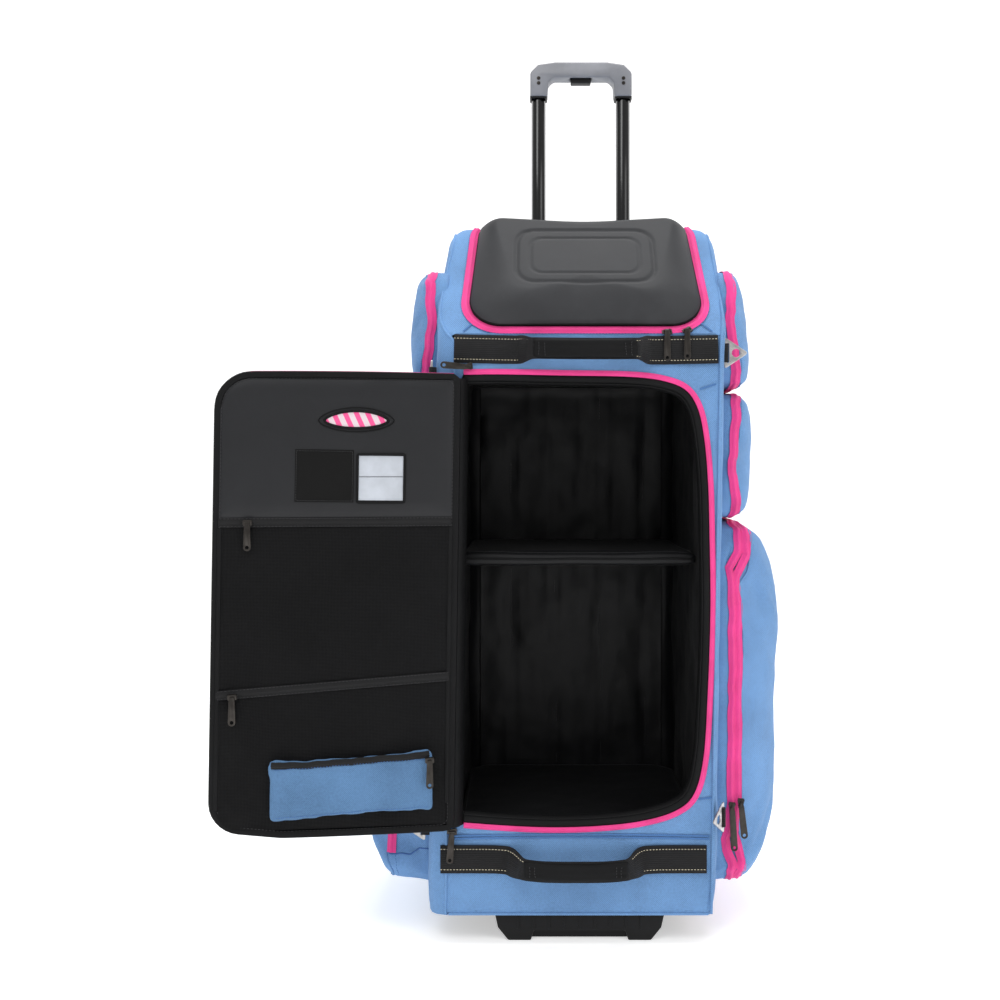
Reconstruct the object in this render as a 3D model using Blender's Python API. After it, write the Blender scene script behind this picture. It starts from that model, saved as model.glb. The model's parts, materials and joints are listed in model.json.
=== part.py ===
"""Upright rolling kit bag: a tall soft case on two wheels, with a padded front door that stands open,
a moulded lid over the top pocket, six side pockets and a telescopic pull handle.

The origin is on the floor, at the middle of the front foot bar. +X is the bag's right as seen from
the front, +Y runs to the back and +Z is up. Depths are measured back from the front face.
"""
import math

import bmesh
import bpy
from mathutils import Matrix, Vector

GAP = 0.0003

# Fabric case
FRONT_Y = -0.030
CASE_HALF_WIDTH = 0.1725
CASE_DEPTH = 0.355
CASE_BOTTOM = 0.034
CASE_TOP = 0.920
SLOPE_FOOT = 0.7625
SLOPE_DEPTH = 0.110
SHOULDER_RADIUS = 0.030
HOOD_START_RADIUS = 0.008
PANEL = 0.006
FRAME_THICKNESS = 0.008

# Door opening in the front face, and the door
OPENING_LEFT = -0.1575
OPENING_RIGHT = 0.160
OPENING_BOTTOM = 0.150
OPENING_TOP = 0.708
OPENING_RADIUS = 0.038
RIM = 0.010
ZIP_WIDTH = 0.010
ZIP_THICKNESS = 0.0022
DOOR_WIDTH = 0.306
DOOR_BOTTOM = 0.146
DOOR_TOP = 0.712
DOOR_RADIUS = 0.032
DOOR_THICKNESS = 0.012
DOOR_AXIS_X = -0.156
DOOR_AXIS_DEPTH = -0.0094
DOOR_OPEN_DEGREES = 173.4

# Inside
INNER_HALF_WIDTH = 0.160
LINING = 0.005
LINING_BACK_DEPTH = 0.3145
FLOOR_PAD_TOP = 0.146
FLOOR_PAD_THICKNESS = 0.009
DIVIDER_TOP = 0.4865
DIVIDER_THICKNESS = 0.019
DIVIDER_FRONT_DEPTH = 0.046
BULKHEAD_BOTTOM = 0.733
BULKHEAD_THICKNESS = 0.006

# Moulded lid on the slope
LID_CENTRE_X = 0.008
LID_FOOT_HALF_WIDTH = 0.1530
LID_HEAD_HALF_WIDTH = 0.1410
LID_START = 0.0118
LID_END = 0.190
LID_HEIGHT = 0.030
LID_SHELL = 0.004
LID_FOOT_RADIUS = 0.044
LID_HEAD_RADIUS = 0.022
LID_ZIP_WIDTH = 0.0095
LID_ZIP_INSET = 0.0008
LID_LIFT = 0.0022
LID_STEPS = 7
MOUTH_HALF_WIDTH = 0.118
MOUTH_START = 0.030
MOUTH_END = 0.168

# The lid's dome: scale of its outline and share of its height
LID_PROFILE = ((1.0, 0.0), (0.985, 0.42), (0.93, 0.70), (0.80, 0.88), (0.55, 0.97), (0.25, 1.0))

# Pull handle
HANDLE_X = 0.0163
TUBE_SPREAD = 0.0655
TUBE_DEPTH = 0.3357
OUTER_TUBE_RADIUS = 0.0125
OUTER_TUBE_BORE = 0.0115
INNER_TUBE_RADIUS = 0.011
TUBE_SIDES = 24
GRIP_FOOT = 1.169
GRIP_TOP = 1.2220
GRIP_HALF_WIDTH = 0.0785
GRIP_BAR_BOTTOM = 1.1986
GRIP_DEPTH = 0.030
INNER_TUBE_FOOT = 0.640
GRIP_OPENING = 0.0515
BUTTON_HALF_WIDTH = 0.0155
BUTTON_HALF_DEPTH = 0.0075
BUTTON_BELOW_BAR = 0.007
BUTTON_IN_BAR = 0.007
BEZEL_HALF_WIDTH = 0.086
BEZEL_HALF_DEPTH = 0.0135
BEZEL_HEIGHT = 0.012
BRACKET_TOP = 0.0617
BRACKET_HALF_WIDTH = 0.084

# Wheels and foot
WHEEL_RADIUS = 0.040
WHEEL_WIDTH = 0.024
WHEEL_X = 0.1375
WHEEL_DEPTH = 0.3325
HUB_RADIUS = 0.027
AXLE_RADIUS = 0.004
HOUSING_HALF_WIDTH = 0.0275
HOUSING_FRONT_DEPTH = 0.270
HOUSING_TOP = 0.122
HOUSING_LIP = 0.024
HOUSING_SLOT_HALF_WIDTH = 0.0155
FOOT_HALF_WIDTH = 0.107
FOOT_FLAT_HALF_WIDTH = 0.090
FOOT_FRONT = -0.020
FOOT_BACK = 0.016
FOOT_RELIEF_HALF_WIDTH = 0.064
FOOT_RELIEF_TOP = 0.012
FOOT_RELIEF_DEPTH = 0.010

# Side pockets: lowest z, highest z, how far they stand off the side
POCKET_FRONT_DEPTH = 0.038
POCKET_BACK_DEPTH = 0.305
POCKETS = {
    "upper": (0.700, 0.857, 0.0535),
    "middle": (0.5305, 0.697, 0.0525),
    "lower": (0.052, 0.5275, 0.0950),
}
POCKET_CORNER = 0.022

# A pocket's bulge: share of its reach, and how far its outline has closed in there
POCKET_STATIONS = ((0.0, 0.0), (0.45, 0.0), (0.80, 0.005), (0.95, 0.016), (1.0, 0.034))

# Inner face of the door, along the door from its hinge line
DOOR_EDGE = 0.0012
DOOR_MARGIN = 0.012
PAD_BOTTOM = 0.536
PAD_THICKNESS = 0.0030
MESH_START = 0.009
MESH_THICKNESS = 0.0028
MESH_TOP = 0.5335
MESH_BOTTOM = 0.158
MESH_CORNER = 0.024
SEAM_AT_HINGE = 0.3375
SEAM_AT_FREE_EDGE = 0.3195
SEAM_GAP = 0.0025
CARD_LEFT = 0.064
CARD_RIGHT = 0.121
CARD_BOTTOM = 0.5535
CARD_TOP = 0.6110
CARD_THICKNESS = 0.0010
POUCH_CENTRE = (0.1225, 0.2040)
POUCH_HALF_WIDTH = 0.104
POUCH_HALF_HEIGHT = 0.0385
POUCH_THICKNESS = 0.0105
POUCH_TILT = math.radians(3.0)

# Webbing grab handles: left and right end, lowest and highest z, left and right end of the padded arch
STRAP_THICKNESS = 0.0030
STRAP_GRIP_THICKNESS = 0.0085
STRAP_RISE = 0.024
STRAP_RUN = 0.024
GRAB_HANDLES = {
    "upper_grab_handle": (-0.1600, 0.1700, 0.7262, 0.7618, -0.058, 0.0640),
    "lower_grab_handle": (-0.1715, 0.1610, 0.0890, 0.1240, -0.064, 0.0580),
}

# Zip sliders and pulls
SLIDER_HALF_LENGTH = 0.0055
SLIDER_HALF_WIDTH = 0.0035
SLIDER_HEIGHT = 0.0040
DOOR_PULL_LENGTH = 0.034
PULL_HALF_WIDTH = 0.0045
PULL_HALF_THICKNESS = 0.0009
PULL_STAND_OFF = 0.0016

# Strap rings: X and depth of the upright bar, height of its middle, direction in degrees from +X
RING_HALF_THICKNESS = 0.0010
RINGS = {
    "right_upper_ring": (0.1840, 0.0120, 0.740, 0.0),
    "right_lower_ring": (0.1780, -0.0035, 0.160, -125.0),
    "left_upper_ring": (-0.1860, 0.0080, 0.712, 100.0),
    "left_lower_ring": (-0.1967, 0.0180, 0.143, 180.0),
}

MATERIALS = {
    "blue_canvas": ((0.16, 0.36, 0.68), 0.85, 0.0),
    "black_lining": ((0.006, 0.006, 0.007), 0.80, 0.0),
    "black_webbing": ((0.012, 0.012, 0.013), 0.75, 0.0),
    "pink_zip": ((0.95, 0.08, 0.30), 0.60, 0.0),
    "lid_moulding": ((0.035, 0.036, 0.038), 0.65, 0.0),
    "door_padding": ((0.025, 0.026, 0.029), 0.55, 0.0),
    "black_mesh": ((0.010, 0.010, 0.011), 0.70, 0.0),
    "white_card": ((0.75, 0.75, 0.75), 0.45, 0.0),
    "black_plastic": ((0.018, 0.018, 0.020), 0.45, 0.0),
    "grip_plastic": ((0.13, 0.14, 0.15), 0.50, 0.0),
    "black_tube": ((0.008, 0.008, 0.010), 0.20, 0.6),
    "tyre_rubber": ((0.015, 0.015, 0.015), 0.80, 0.0),
    "steel": ((0.55, 0.55, 0.56), 0.30, 1.0),
    "gunmetal": ((0.09, 0.085, 0.075), 0.35, 0.9),
}


def at_depth(depth):
    """World Y of a place this far behind the front face."""
    return FRONT_Y + depth


def clear_scene():
    for obj in list(bpy.data.objects):
        bpy.data.objects.remove(obj, do_unlink=True)


def make_materials():
    for name, (colour, roughness, metallic) in MATERIALS.items():
        material = bpy.data.materials.new(name)
        material.use_nodes = True
        shader = material.node_tree.nodes["Principled BSDF"]
        shader.inputs["Base Color"].default_value = (*colour, 1.0)
        shader.inputs["Roughness"].default_value = roughness
        shader.inputs["Metallic"].default_value = metallic
        material.diffuse_color = (*colour, 1.0)


def add_object(name, mesh_builder, material, parent=None):
    """A named object from a bmesh, with its faces turned outwards."""
    bmesh.ops.recalc_face_normals(mesh_builder, faces=mesh_builder.faces[:])
    mesh = bpy.data.meshes.new(name)
    mesh_builder.to_mesh(mesh)
    mesh_builder.free()
    obj = bpy.data.objects.new(name, mesh)
    bpy.context.scene.collection.objects.link(obj)
    if material:
        mesh.materials.append(bpy.data.materials[material])
    if parent:
        obj.parent = parent
    return obj


def add_pivot(name, location, turn=0.0, parent=None):
    """An empty on a joint's axis, turned about Z."""
    pivot = bpy.data.objects.new(name, None)
    bpy.context.scene.collection.objects.link(pivot)
    pivot.location = location
    pivot.rotation_euler = (0.0, 0.0, turn)
    pivot.parent = parent
    return pivot


def shade_smooth(obj, degrees=35.0):
    obj.data.shade_smooth()
    obj.data.set_sharp_from_angle(angle=math.radians(degrees))


def placed(axis, u, v, w):
    """A point of an outline (u, v) at w along the axis that it is extruded along."""
    return {"X": (w, u, v), "Y": (u, w, v), "Z": (u, v, w)}[axis]


def arc(centre, radius, start, end, steps):
    """Points of an arc, its angles in degrees, both ends included."""
    points = []
    for step in range(steps + 1):
        angle = math.radians(start + (end - start) * step / steps)
        points.append((centre[0] + radius * math.cos(angle), centre[1] + radius * math.sin(angle)))
    return points


def rounded_rect(left, bottom, right, top, radii, steps=5):
    """Outline from the lower left, anticlockwise. radii: lower left, lower right, upper right, upper left."""
    lower_left, lower_right, upper_right, upper_left = radii
    points = arc((left + lower_left, bottom + lower_left), lower_left, 180, 270, steps)
    points += arc((right - lower_right, bottom + lower_right), lower_right, 270, 360, steps)
    points += arc((right - upper_right, top - upper_right), upper_right, 0, 90, steps)
    points += arc((left + upper_left, top - upper_left), upper_left, 90, 180, steps)
    return points


def extruded(name, outline, axis, low, high, material, parent=None):
    """A solid from a plane outline, extruded along one axis."""
    shape = bmesh.new()
    face = shape.faces.new([shape.verts.new(placed(axis, u, v, low)) for u, v in outline])
    result = bmesh.ops.extrude_face_region(shape, geom=[face])
    moved = [item for item in result["geom"] if isinstance(item, bmesh.types.BMVert)]
    bmesh.ops.translate(shape, verts=moved, vec=Vector(placed(axis, 0, 0, high - low)))
    return add_object(name, shape, material, parent)


def lofted(name, sections, material, parent=None):
    """A solid skinned over sections with equal numbers of points."""
    shape = bmesh.new()
    rows = [[shape.verts.new(point) for point in section] for section in sections]
    for row, following in zip(rows, rows[1:]):
        for index in range(len(row)):
            beside = (index + 1) % len(row)
            shape.faces.new((row[index], row[beside], following[beside], following[index]))
    shape.faces.new(rows[0])
    shape.faces.new(rows[-1])
    return add_object(name, shape, material, parent)


def ring(name, outer, inner, axis, low, high, material, parent=None):
    """A flat ring between two outlines with equal numbers of points."""
    shape = bmesh.new()
    loops = []
    for outline, level in ((outer, low), (outer, high), (inner, high), (inner, low)):
        loops.append([shape.verts.new(placed(axis, u, v, level)) for u, v in outline])
    for loop, following in zip(loops, loops[1:] + loops[:1]):
        for index in range(len(loop)):
            beside = (index + 1) % len(loop)
            shape.faces.new((loop[index], loop[beside], following[beside], following[index]))
    return add_object(name, shape, material, parent)


def turned(name, profile, centre, steps, material):
    """A ring or disc turned about an X axis from a closed profile of (distance along X, radius)."""
    shape = bmesh.new()
    corners = [shape.verts.new((centre[0] + along, centre[1], centre[2] + radius))
               for along, radius in profile]
    edges = [shape.edges.new((a, b)) for a, b in zip(corners, corners[1:] + corners[:1])]
    bmesh.ops.spin(shape, geom=corners + edges, cent=centre, axis=(1, 0, 0), angle=math.tau,
                   steps=steps, use_merge=False, use_duplicate=False)
    bmesh.ops.remove_doubles(shape, verts=shape.verts[:], dist=0.00005)
    obj = add_object(name, shape, material)
    shade_smooth(obj)
    return obj


def cylinder(name, radius, low, high, axis, centre, material, sides=TUBE_SIDES, parent=None):
    obj = extruded(name, arc(centre, radius, 0, 360 - 360 / sides, sides - 1), axis, low, high, material,
                   parent)
    shade_smooth(obj)
    return obj


def cut(obj, cutter):
    """Takes the cutter's shape out of the object."""
    cutter.hide_render = True
    cutter.display_type = "WIRE"
    modifier = obj.modifiers.new("cut", "BOOLEAN")
    modifier.operation = "DIFFERENCE"
    modifier.solver = "EXACT"
    modifier.object = cutter


def soften(obj, width, segments=2, degrees=40.0):
    bevel = obj.modifiers.new("soften", "BEVEL")
    bevel.width = width
    bevel.segments = segments
    bevel.limit_method = "ANGLE"
    bevel.angle_limit = math.radians(degrees)


def make_case():
    """Front, sides, back, base and top of the fabric case."""
    half = CASE_HALF_WIDTH
    frame = ring(
        "front_frame",
        rounded_rect(-half, CASE_BOTTOM, half, SLOPE_FOOT, (0.012, 0.012, 0.002, 0.002), 8),
        rounded_rect(OPENING_LEFT, OPENING_BOTTOM + RIM, OPENING_RIGHT - RIM, OPENING_TOP - RIM,
                     (0.004, OPENING_RADIUS - RIM, OPENING_RADIUS - RIM, 0.004), 8),
        "Y", FRONT_Y, at_depth(FRAME_THICKNESS), "blue_canvas")
    shade_smooth(frame)

    front = at_depth(FRAME_THICKNESS + GAP)
    back = at_depth(CASE_DEPTH - PANEL - GAP)
    crest = at_depth(SLOPE_DEPTH)
    outline = [(front, CASE_BOTTOM + PANEL + GAP), (back, CASE_BOTTOM + PANEL + GAP),
               (back, CASE_TOP - SHOULDER_RADIUS - GAP), (crest, CASE_TOP - SHOULDER_RADIUS - GAP),
               (front, hood_start_height() - HOOD_START_RADIUS - GAP)]
    extruded("right_side_panel", outline, "X", half - PANEL, half, "blue_canvas")
    extruded("left_side_panel", outline, "X", -half, -half + PANEL, "blue_canvas")

    notch_x = WHEEL_X - HOUSING_HALF_WIDTH - GAP
    notch_z = HOUSING_TOP + GAP
    back_outline = [(-notch_x, CASE_BOTTOM), (notch_x, CASE_BOTTOM), (notch_x, notch_z), (half, notch_z)]
    back_outline += arc((half - SHOULDER_RADIUS, CASE_TOP - SHOULDER_RADIUS), SHOULDER_RADIUS, 0, 90, 6)
    back_outline += arc((-half + SHOULDER_RADIUS, CASE_TOP - SHOULDER_RADIUS), SHOULDER_RADIUS, 90, 180, 6)
    back_outline += [(-half, notch_z), (-notch_x, notch_z)]
    extruded("back_panel", back_outline, "Y", at_depth(CASE_DEPTH - PANEL), at_depth(CASE_DEPTH),
             "blue_canvas")

    notch_y = at_depth(HOUSING_FRONT_DEPTH - GAP)
    base_outline = [(-half, front), (half, front), (half, notch_y), (notch_x, notch_y), (notch_x, back),
                    (-notch_x, back), (-notch_x, notch_y), (-half, notch_y)]
    extruded("bottom_panel", base_outline, "Z", CASE_BOTTOM, CASE_BOTTOM + PANEL, "blue_canvas")
    make_hood()


def hood_start_height():
    """Height of the slope just behind the front frame."""
    return SLOPE_FOOT + (CASE_TOP - SLOPE_FOOT) * (FRAME_THICKNESS + GAP) / SLOPE_DEPTH


def hood_arch(depth, height, radius, inset):
    """Half-open arch across the bag: shoulders of the given radius, moved in by the inset."""
    half = CASE_HALF_WIDTH - inset
    bend = max(radius - inset, 0.0015)
    level = height - inset
    foot = height - radius
    points = [(half, foot)]
    points += arc((half - bend, level - bend), bend, 0, 90, 6)
    points += arc((-half + bend, level - bend), bend, 90, 180, 6)
    points.append((-half, foot))
    return [(x, at_depth(depth), z) for x, z in points]


def make_hood():
    """The top: a slope behind the lid and a flat crown with round shoulders, open under the lid."""
    path = ((FRAME_THICKNESS + GAP, hood_start_height(), HOOD_START_RADIUS),
            (SLOPE_DEPTH, CASE_TOP, SHOULDER_RADIUS),
            (CASE_DEPTH - PANEL - GAP, CASE_TOP, SHOULDER_RADIUS))
    sections = []
    for depth, height, radius in path:
        lifted = height + GAP
        outer = hood_arch(depth, lifted, radius, 0.0)
        inner = hood_arch(depth, lifted, radius, PANEL)
        sections.append(outer + inner[::-1])
    hood = lofted("top_hood", sections, "blue_canvas")
    shade_smooth(hood, 50.0)

    slope = Vector((0.0, SLOPE_DEPTH, CASE_TOP - SLOPE_FOOT)).normalized()
    mouth = rounded_rect(LID_CENTRE_X - MOUTH_HALF_WIDTH, MOUTH_START, LID_CENTRE_X + MOUTH_HALF_WIDTH,
                         MOUTH_END,
                         (MOUTH_START,) * 4, 5)
    cutter = extruded("lid_mouth_cutter", mouth, "Z", -0.030, 0.030, None)
    cutter.matrix_world = slope_matrix(slope)
    cut(hood, cutter)
    for side in (-1, 1):
        hole = cylinder("hood_hole_cutter", OUTER_TUBE_RADIUS + 0.0004, CASE_TOP - 0.02, CASE_TOP + 0.02, "Z",
                        (HANDLE_X + side * TUBE_SPREAD, at_depth(TUBE_DEPTH)), None)
        cut(hood, hole)


def slope_matrix(slope):
    """From lid coordinates (across, up the slope, off the slope) to the world."""
    normal = Vector((1.0, 0.0, 0.0)).cross(slope)
    turn = Matrix((Vector((1.0, 0.0, 0.0)), slope, normal)).transposed().to_4x4()
    return Matrix.Translation((0.0, FRONT_Y, SLOPE_FOOT)) @ turn


def lid_outline(grow):
    """The lid's outline on the slope, narrower at its head, grown outwards by a margin."""
    foot = LID_FOOT_HALF_WIDTH + grow
    head = LID_HEAD_HALF_WIDTH + grow
    start = LID_START - grow
    end = LID_END + grow
    straight = rounded_rect(-foot, start, foot, end,
                            (LID_FOOT_RADIUS + grow, LID_FOOT_RADIUS + grow, LID_HEAD_RADIUS + grow,
                             LID_HEAD_RADIUS + grow), LID_STEPS)
    taper = (foot - head) / (end - start)
    return [(LID_CENTRE_X + x * (1.0 - taper * max(y - start, 0.0) / foot), y) for x, y in straight]


def make_lid():
    """The moulded dome over the top pocket, with its origin on the hinge along its head."""
    slope = Vector((0.0, SLOPE_DEPTH, CASE_TOP - SLOPE_FOOT)).normalized()
    place = slope_matrix(slope)
    hinge = place @ Vector((LID_CENTRE_X, LID_END, LID_LIFT))
    pivot = add_pivot("lid_pivot", hinge)
    outline = lid_outline(0.0)
    middle = (LID_START + LID_END) / 2
    shape = bmesh.new()
    rows = []
    for scale, rise in LID_PROFILE:
        row = []
        for x, y in outline:
            point = Vector((LID_CENTRE_X + (x - LID_CENTRE_X) * scale, middle + (y - middle) * scale,
                            LID_LIFT + LID_HEIGHT * rise))
            row.append(shape.verts.new(place @ point - hinge))
        rows.append(row)
    for row, following in zip(rows, rows[1:]):
        for index in range(len(row)):
            beside = (index + 1) % len(row)
            shape.faces.new((row[index], row[beside], following[beside], following[index]))
    shape.faces.new(rows[-1])
    lid = add_object("top_lid", shape, "lid_moulding", pivot)
    shell = lid.modifiers.new("shell", "SOLIDIFY")
    shell.thickness = LID_SHELL
    shell.offset = -1.0
    shade_smooth(lid, 60.0)

    band = zip_path(LID_ZIP_WIDTH) + zip_path(LID_ZIP_INSET)[::-1]
    zip_band = extruded("lid_zip", band, "Z", GAP * 2, GAP * 2 + ZIP_THICKNESS, "pink_zip")
    zip_band.matrix_world = place


def zip_path(grow):
    """The lid's outline from the middle of one head corner round its foot to the middle of the other."""
    outline = lid_outline(grow)
    corner = LID_STEPS + 1
    half_corner = corner // 2
    return outline[-half_corner:] + outline[:-corner - half_corner]


def make_inside():
    """Lining, floor pad, divider shelf and the bulkhead under the top pocket."""
    front = at_depth(FRAME_THICKNESS + GAP)
    back = at_depth(LINING_BACK_DEPTH)
    outer = INNER_HALF_WIDTH + LINING
    lining_outline = [(-outer, front), (-outer, back + 0.0075), (outer, back + 0.0075), (outer, front),
                      (INNER_HALF_WIDTH, front), (INNER_HALF_WIDTH, back), (-INNER_HALF_WIDTH, back),
                      (-INNER_HALF_WIDTH, front)]
    extruded("main_lining", lining_outline, "Z", FLOOR_PAD_TOP - FLOOR_PAD_THICKNESS, BULKHEAD_BOTTOM - GAP,
             "black_lining")

    inner = INNER_HALF_WIDTH - 0.0006
    pad = rounded_rect(-inner, front, inner, back - 0.001, (0.004, 0.004, 0.022, 0.022))
    floor_pad = extruded("floor_pad", pad, "Z", FLOOR_PAD_TOP - FLOOR_PAD_THICKNESS, FLOOR_PAD_TOP,
                         "black_lining")
    soften(floor_pad, 0.002, 1)

    shelf = rounded_rect(-inner, at_depth(DIVIDER_FRONT_DEPTH), inner, back - 0.001, (0.006,) * 4, 2)
    divider = extruded("divider_shelf", shelf, "Z", DIVIDER_TOP - DIVIDER_THICKNESS, DIVIDER_TOP,
                       "black_lining")
    soften(divider, 0.004, 2)

    bulkhead_half = CASE_HALF_WIDTH - PANEL - GAP
    bulkhead = [(-bulkhead_half, front), (bulkhead_half, front),
                (bulkhead_half, back + 0.007), (-bulkhead_half, back + 0.007)]
    extruded("top_pocket_bulkhead", bulkhead, "Z", BULKHEAD_BOTTOM, BULKHEAD_BOTTOM + BULKHEAD_THICKNESS,
             "black_lining")


def make_pockets():
    """Six zipped pockets: a gusset off the side, then a bulged outer panel."""
    for height_name, (low, high, reach) in POCKETS.items():
        for side_name, side in (("left", -1), ("right", 1)):
            front = at_depth(POCKET_FRONT_DEPTH)
            back = at_depth(POCKET_BACK_DEPTH)
            foot = CASE_HALF_WIDTH + GAP
            sections = []
            for share, inset in POCKET_STATIONS:
                outline = rounded_rect(front + inset, low + inset * 0.5, back - inset, high - inset * 0.7,
                                       (POCKET_CORNER,) * 4, 4)
                sections.append([(side * (foot + reach * share), y, z) for y, z in outline])
            pocket = lofted(f"{side_name}_{height_name}_pocket", sections, "blue_canvas")
            shade_smooth(pocket, 60.0)


def make_grab_handle(name, left, right, low, high, arch_left, arch_right):
    """A webbing strap along the front, standing off in the middle as a grip."""
    steps = 4
    rest = at_depth(-GAP * 2)
    padding = STRAP_GRIP_THICKNESS - STRAP_THICKNESS
    outer = [(left, rest - STRAP_THICKNESS)]
    inner = [(left, rest)]
    stations = [(arch_left - STRAP_RUN + STRAP_RUN * step / steps, step / steps) for step in range(steps + 1)]
    stations += [(arch_right + STRAP_RUN * step / steps, 1 - step / steps) for step in range(steps + 1)]
    for x, share in stations:
        eased = share * share * (3 - 2 * share)
        middle = rest - STRAP_RISE * eased - STRAP_THICKNESS / 2
        half = (STRAP_THICKNESS + padding * eased) / 2
        outer.append((x, middle - half))
        inner.append((x, middle + half))
    outer.append((right, rest - STRAP_THICKNESS))
    inner.append((right, rest))
    handle = extruded(name, outer + inner[::-1], "Z", low, high, "black_webbing")
    shade_smooth(handle)


def make_door_zip():
    """Zip band round the opening on its top, right and bottom sides."""
    radius = OPENING_RADIUS
    outer_path = [(OPENING_LEFT + 0.004, OPENING_BOTTOM - ZIP_WIDTH)]
    outer_path += arc((OPENING_RIGHT - radius, OPENING_BOTTOM + radius), radius + ZIP_WIDTH, 270, 360, 8)
    outer_path += arc((OPENING_RIGHT - radius, OPENING_TOP - radius), radius + ZIP_WIDTH, 0, 90, 8)
    outer_path.append((OPENING_LEFT + 0.004, OPENING_TOP + ZIP_WIDTH))
    inner_path = [(OPENING_LEFT + 0.004, OPENING_BOTTOM)]
    inner_path += arc((OPENING_RIGHT - radius, OPENING_BOTTOM + radius), radius, 270, 360, 8)
    inner_path += arc((OPENING_RIGHT - radius, OPENING_TOP - radius), radius, 0, 90, 8)
    inner_path.append((OPENING_LEFT + 0.004, OPENING_TOP))
    band = extruded("door_zip", outer_path + inner_path[::-1], "Y", at_depth(-GAP - ZIP_THICKNESS),
                    at_depth(-GAP), "pink_zip")
    shade_smooth(band)


def add_pull(name, pivot_place, parent, length, lean=0.0):
    """A zip pull hanging from its pivot: a flat tongue with a hole in its end. Local -Y is off the cloth."""
    pivot = add_pivot(name + "_pivot", pivot_place, parent=parent)
    half = PULL_HALF_WIDTH
    outer = arc((0, -length + half), half, 180, 360, 8)
    outer += [(half * 0.8, -half), (half * 0.6, 0.0009), (-half * 0.6, 0.0009), (-half * 0.8, -half)]
    tongue = extruded(name, outer, "Y", -PULL_HALF_THICKNESS, PULL_HALF_THICKNESS, "gunmetal", pivot)
    hole = cylinder(name + "_hole_cutter", half * 0.5, -0.004, 0.004, "Y", (0, -length + half), None, 8,
                    pivot)
    cut(tongue, hole)
    tongue.rotation_euler = (0.0, lean, 0.0)
    hole.rotation_euler = (0.0, lean, 0.0)
    return tongue


def make_door():
    """The padded front door and all that rides on it, in the closed door's own axes under its hinge."""
    hinge = add_pivot("door_pivot", (DOOR_AXIS_X, at_depth(DOOR_AXIS_DEPTH), 0.0),
                      math.radians(-DOOR_OPEN_DEGREES))
    half = DOOR_THICKNESS / 2
    outline = rounded_rect(DOOR_EDGE, DOOR_BOTTOM, DOOR_WIDTH, DOOR_TOP,
                           (0.004, DOOR_RADIUS, DOOR_RADIUS, 0.004), 6)
    door = extruded("door_panel", outline, "Y", -half, half, "black_lining", hinge)
    soften(door, 0.003, 2)

    face = half + GAP
    free_edge = DOOR_WIDTH - DOOR_MARGIN
    pad = rounded_rect(DOOR_MARGIN, PAD_BOTTOM, free_edge, DOOR_TOP - DOOR_MARGIN,
                       (0.003, 0.003, 0.024, 0.006))
    extruded("door_upper_pad", pad, "Y", face, face + PAD_THICKNESS, "door_padding", hinge)
    upper_mesh = [(MESH_START, SEAM_AT_HINGE + SEAM_GAP), (free_edge, SEAM_AT_FREE_EDGE + SEAM_GAP),
                  (free_edge, MESH_TOP), (MESH_START, MESH_TOP)]
    extruded("upper_mesh_pocket", upper_mesh, "Y", face, face + MESH_THICKNESS, "black_mesh", hinge)
    lower_mesh = [(MESH_START, MESH_BOTTOM)]
    lower_mesh += arc((free_edge - MESH_CORNER, MESH_BOTTOM + MESH_CORNER), MESH_CORNER, 270, 360, 5)
    lower_mesh += [(free_edge, SEAM_AT_FREE_EDGE), (MESH_START, SEAM_AT_HINGE)]
    extruded("lower_mesh_pocket", lower_mesh, "Y", face, face + MESH_THICKNESS, "black_mesh", hinge)

    on_pocket = face + MESH_THICKNESS + GAP
    on_pouch = on_pocket + POUCH_THICKNESS + GAP
    extruded("pencil_pouch", pouch_outline(), "Y", on_pocket, on_pocket + POUCH_THICKNESS, "blue_canvas",
             hinge)
    card_face = face + PAD_THICKNESS + GAP
    card = rounded_rect(CARD_LEFT, CARD_BOTTOM, CARD_RIGHT, CARD_TOP, (0.001,) * 4, 1)
    extruded("name_card", card, "Y", card_face, card_face + CARD_THICKNESS, "white_card", hinge)

    slant = math.atan2(SEAM_AT_HINGE - SEAM_AT_FREE_EDGE, free_edge - MESH_START)
    add_slider("upper_pocket", hinge, (0.250, 0.5290), on_pocket, 0.0)
    add_slider("lower_pocket", hinge, (0.268, 0.3190), on_pocket, slant)
    add_slider("pouch", hinge, (0.0315, 0.2390), on_pouch, POUCH_TILT)


def add_slider(name, hinge, place, base, tilt):
    """A slider along its zip on the door's inner face, with its pull on the far side of it."""
    along, height = place
    carrier = add_pivot(name + "_slider_place", (along, 0.0, height), parent=hinge)
    body = rounded_rect(-SLIDER_HALF_LENGTH, -SLIDER_HALF_WIDTH, SLIDER_HALF_LENGTH, SLIDER_HALF_WIDTH,
                        (0.0015,) * 4, 2)
    slider = extruded(name + "_slider", body, "Y", base, base + SLIDER_HEIGHT, "gunmetal", carrier)
    slider.rotation_euler = (0.0, tilt, 0.0)
    add_pull(name + "_pull", (0.0, base + SLIDER_HEIGHT + PULL_STAND_OFF, 0.0), carrier, DOOR_PULL_LENGTH)


def pouch_outline():
    """The small pouch, turned a few degrees on the door."""
    straight = rounded_rect(-POUCH_HALF_WIDTH, -POUCH_HALF_HEIGHT, POUCH_HALF_WIDTH, POUCH_HALF_HEIGHT,
                            (0.006,) * 4, 3)
    across = math.cos(POUCH_TILT)
    down = math.sin(POUCH_TILT)
    centre_x, centre_z = POUCH_CENTRE
    return [(centre_x + x * across + z * down, centre_z - x * down + z * across) for x, z in straight]


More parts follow.
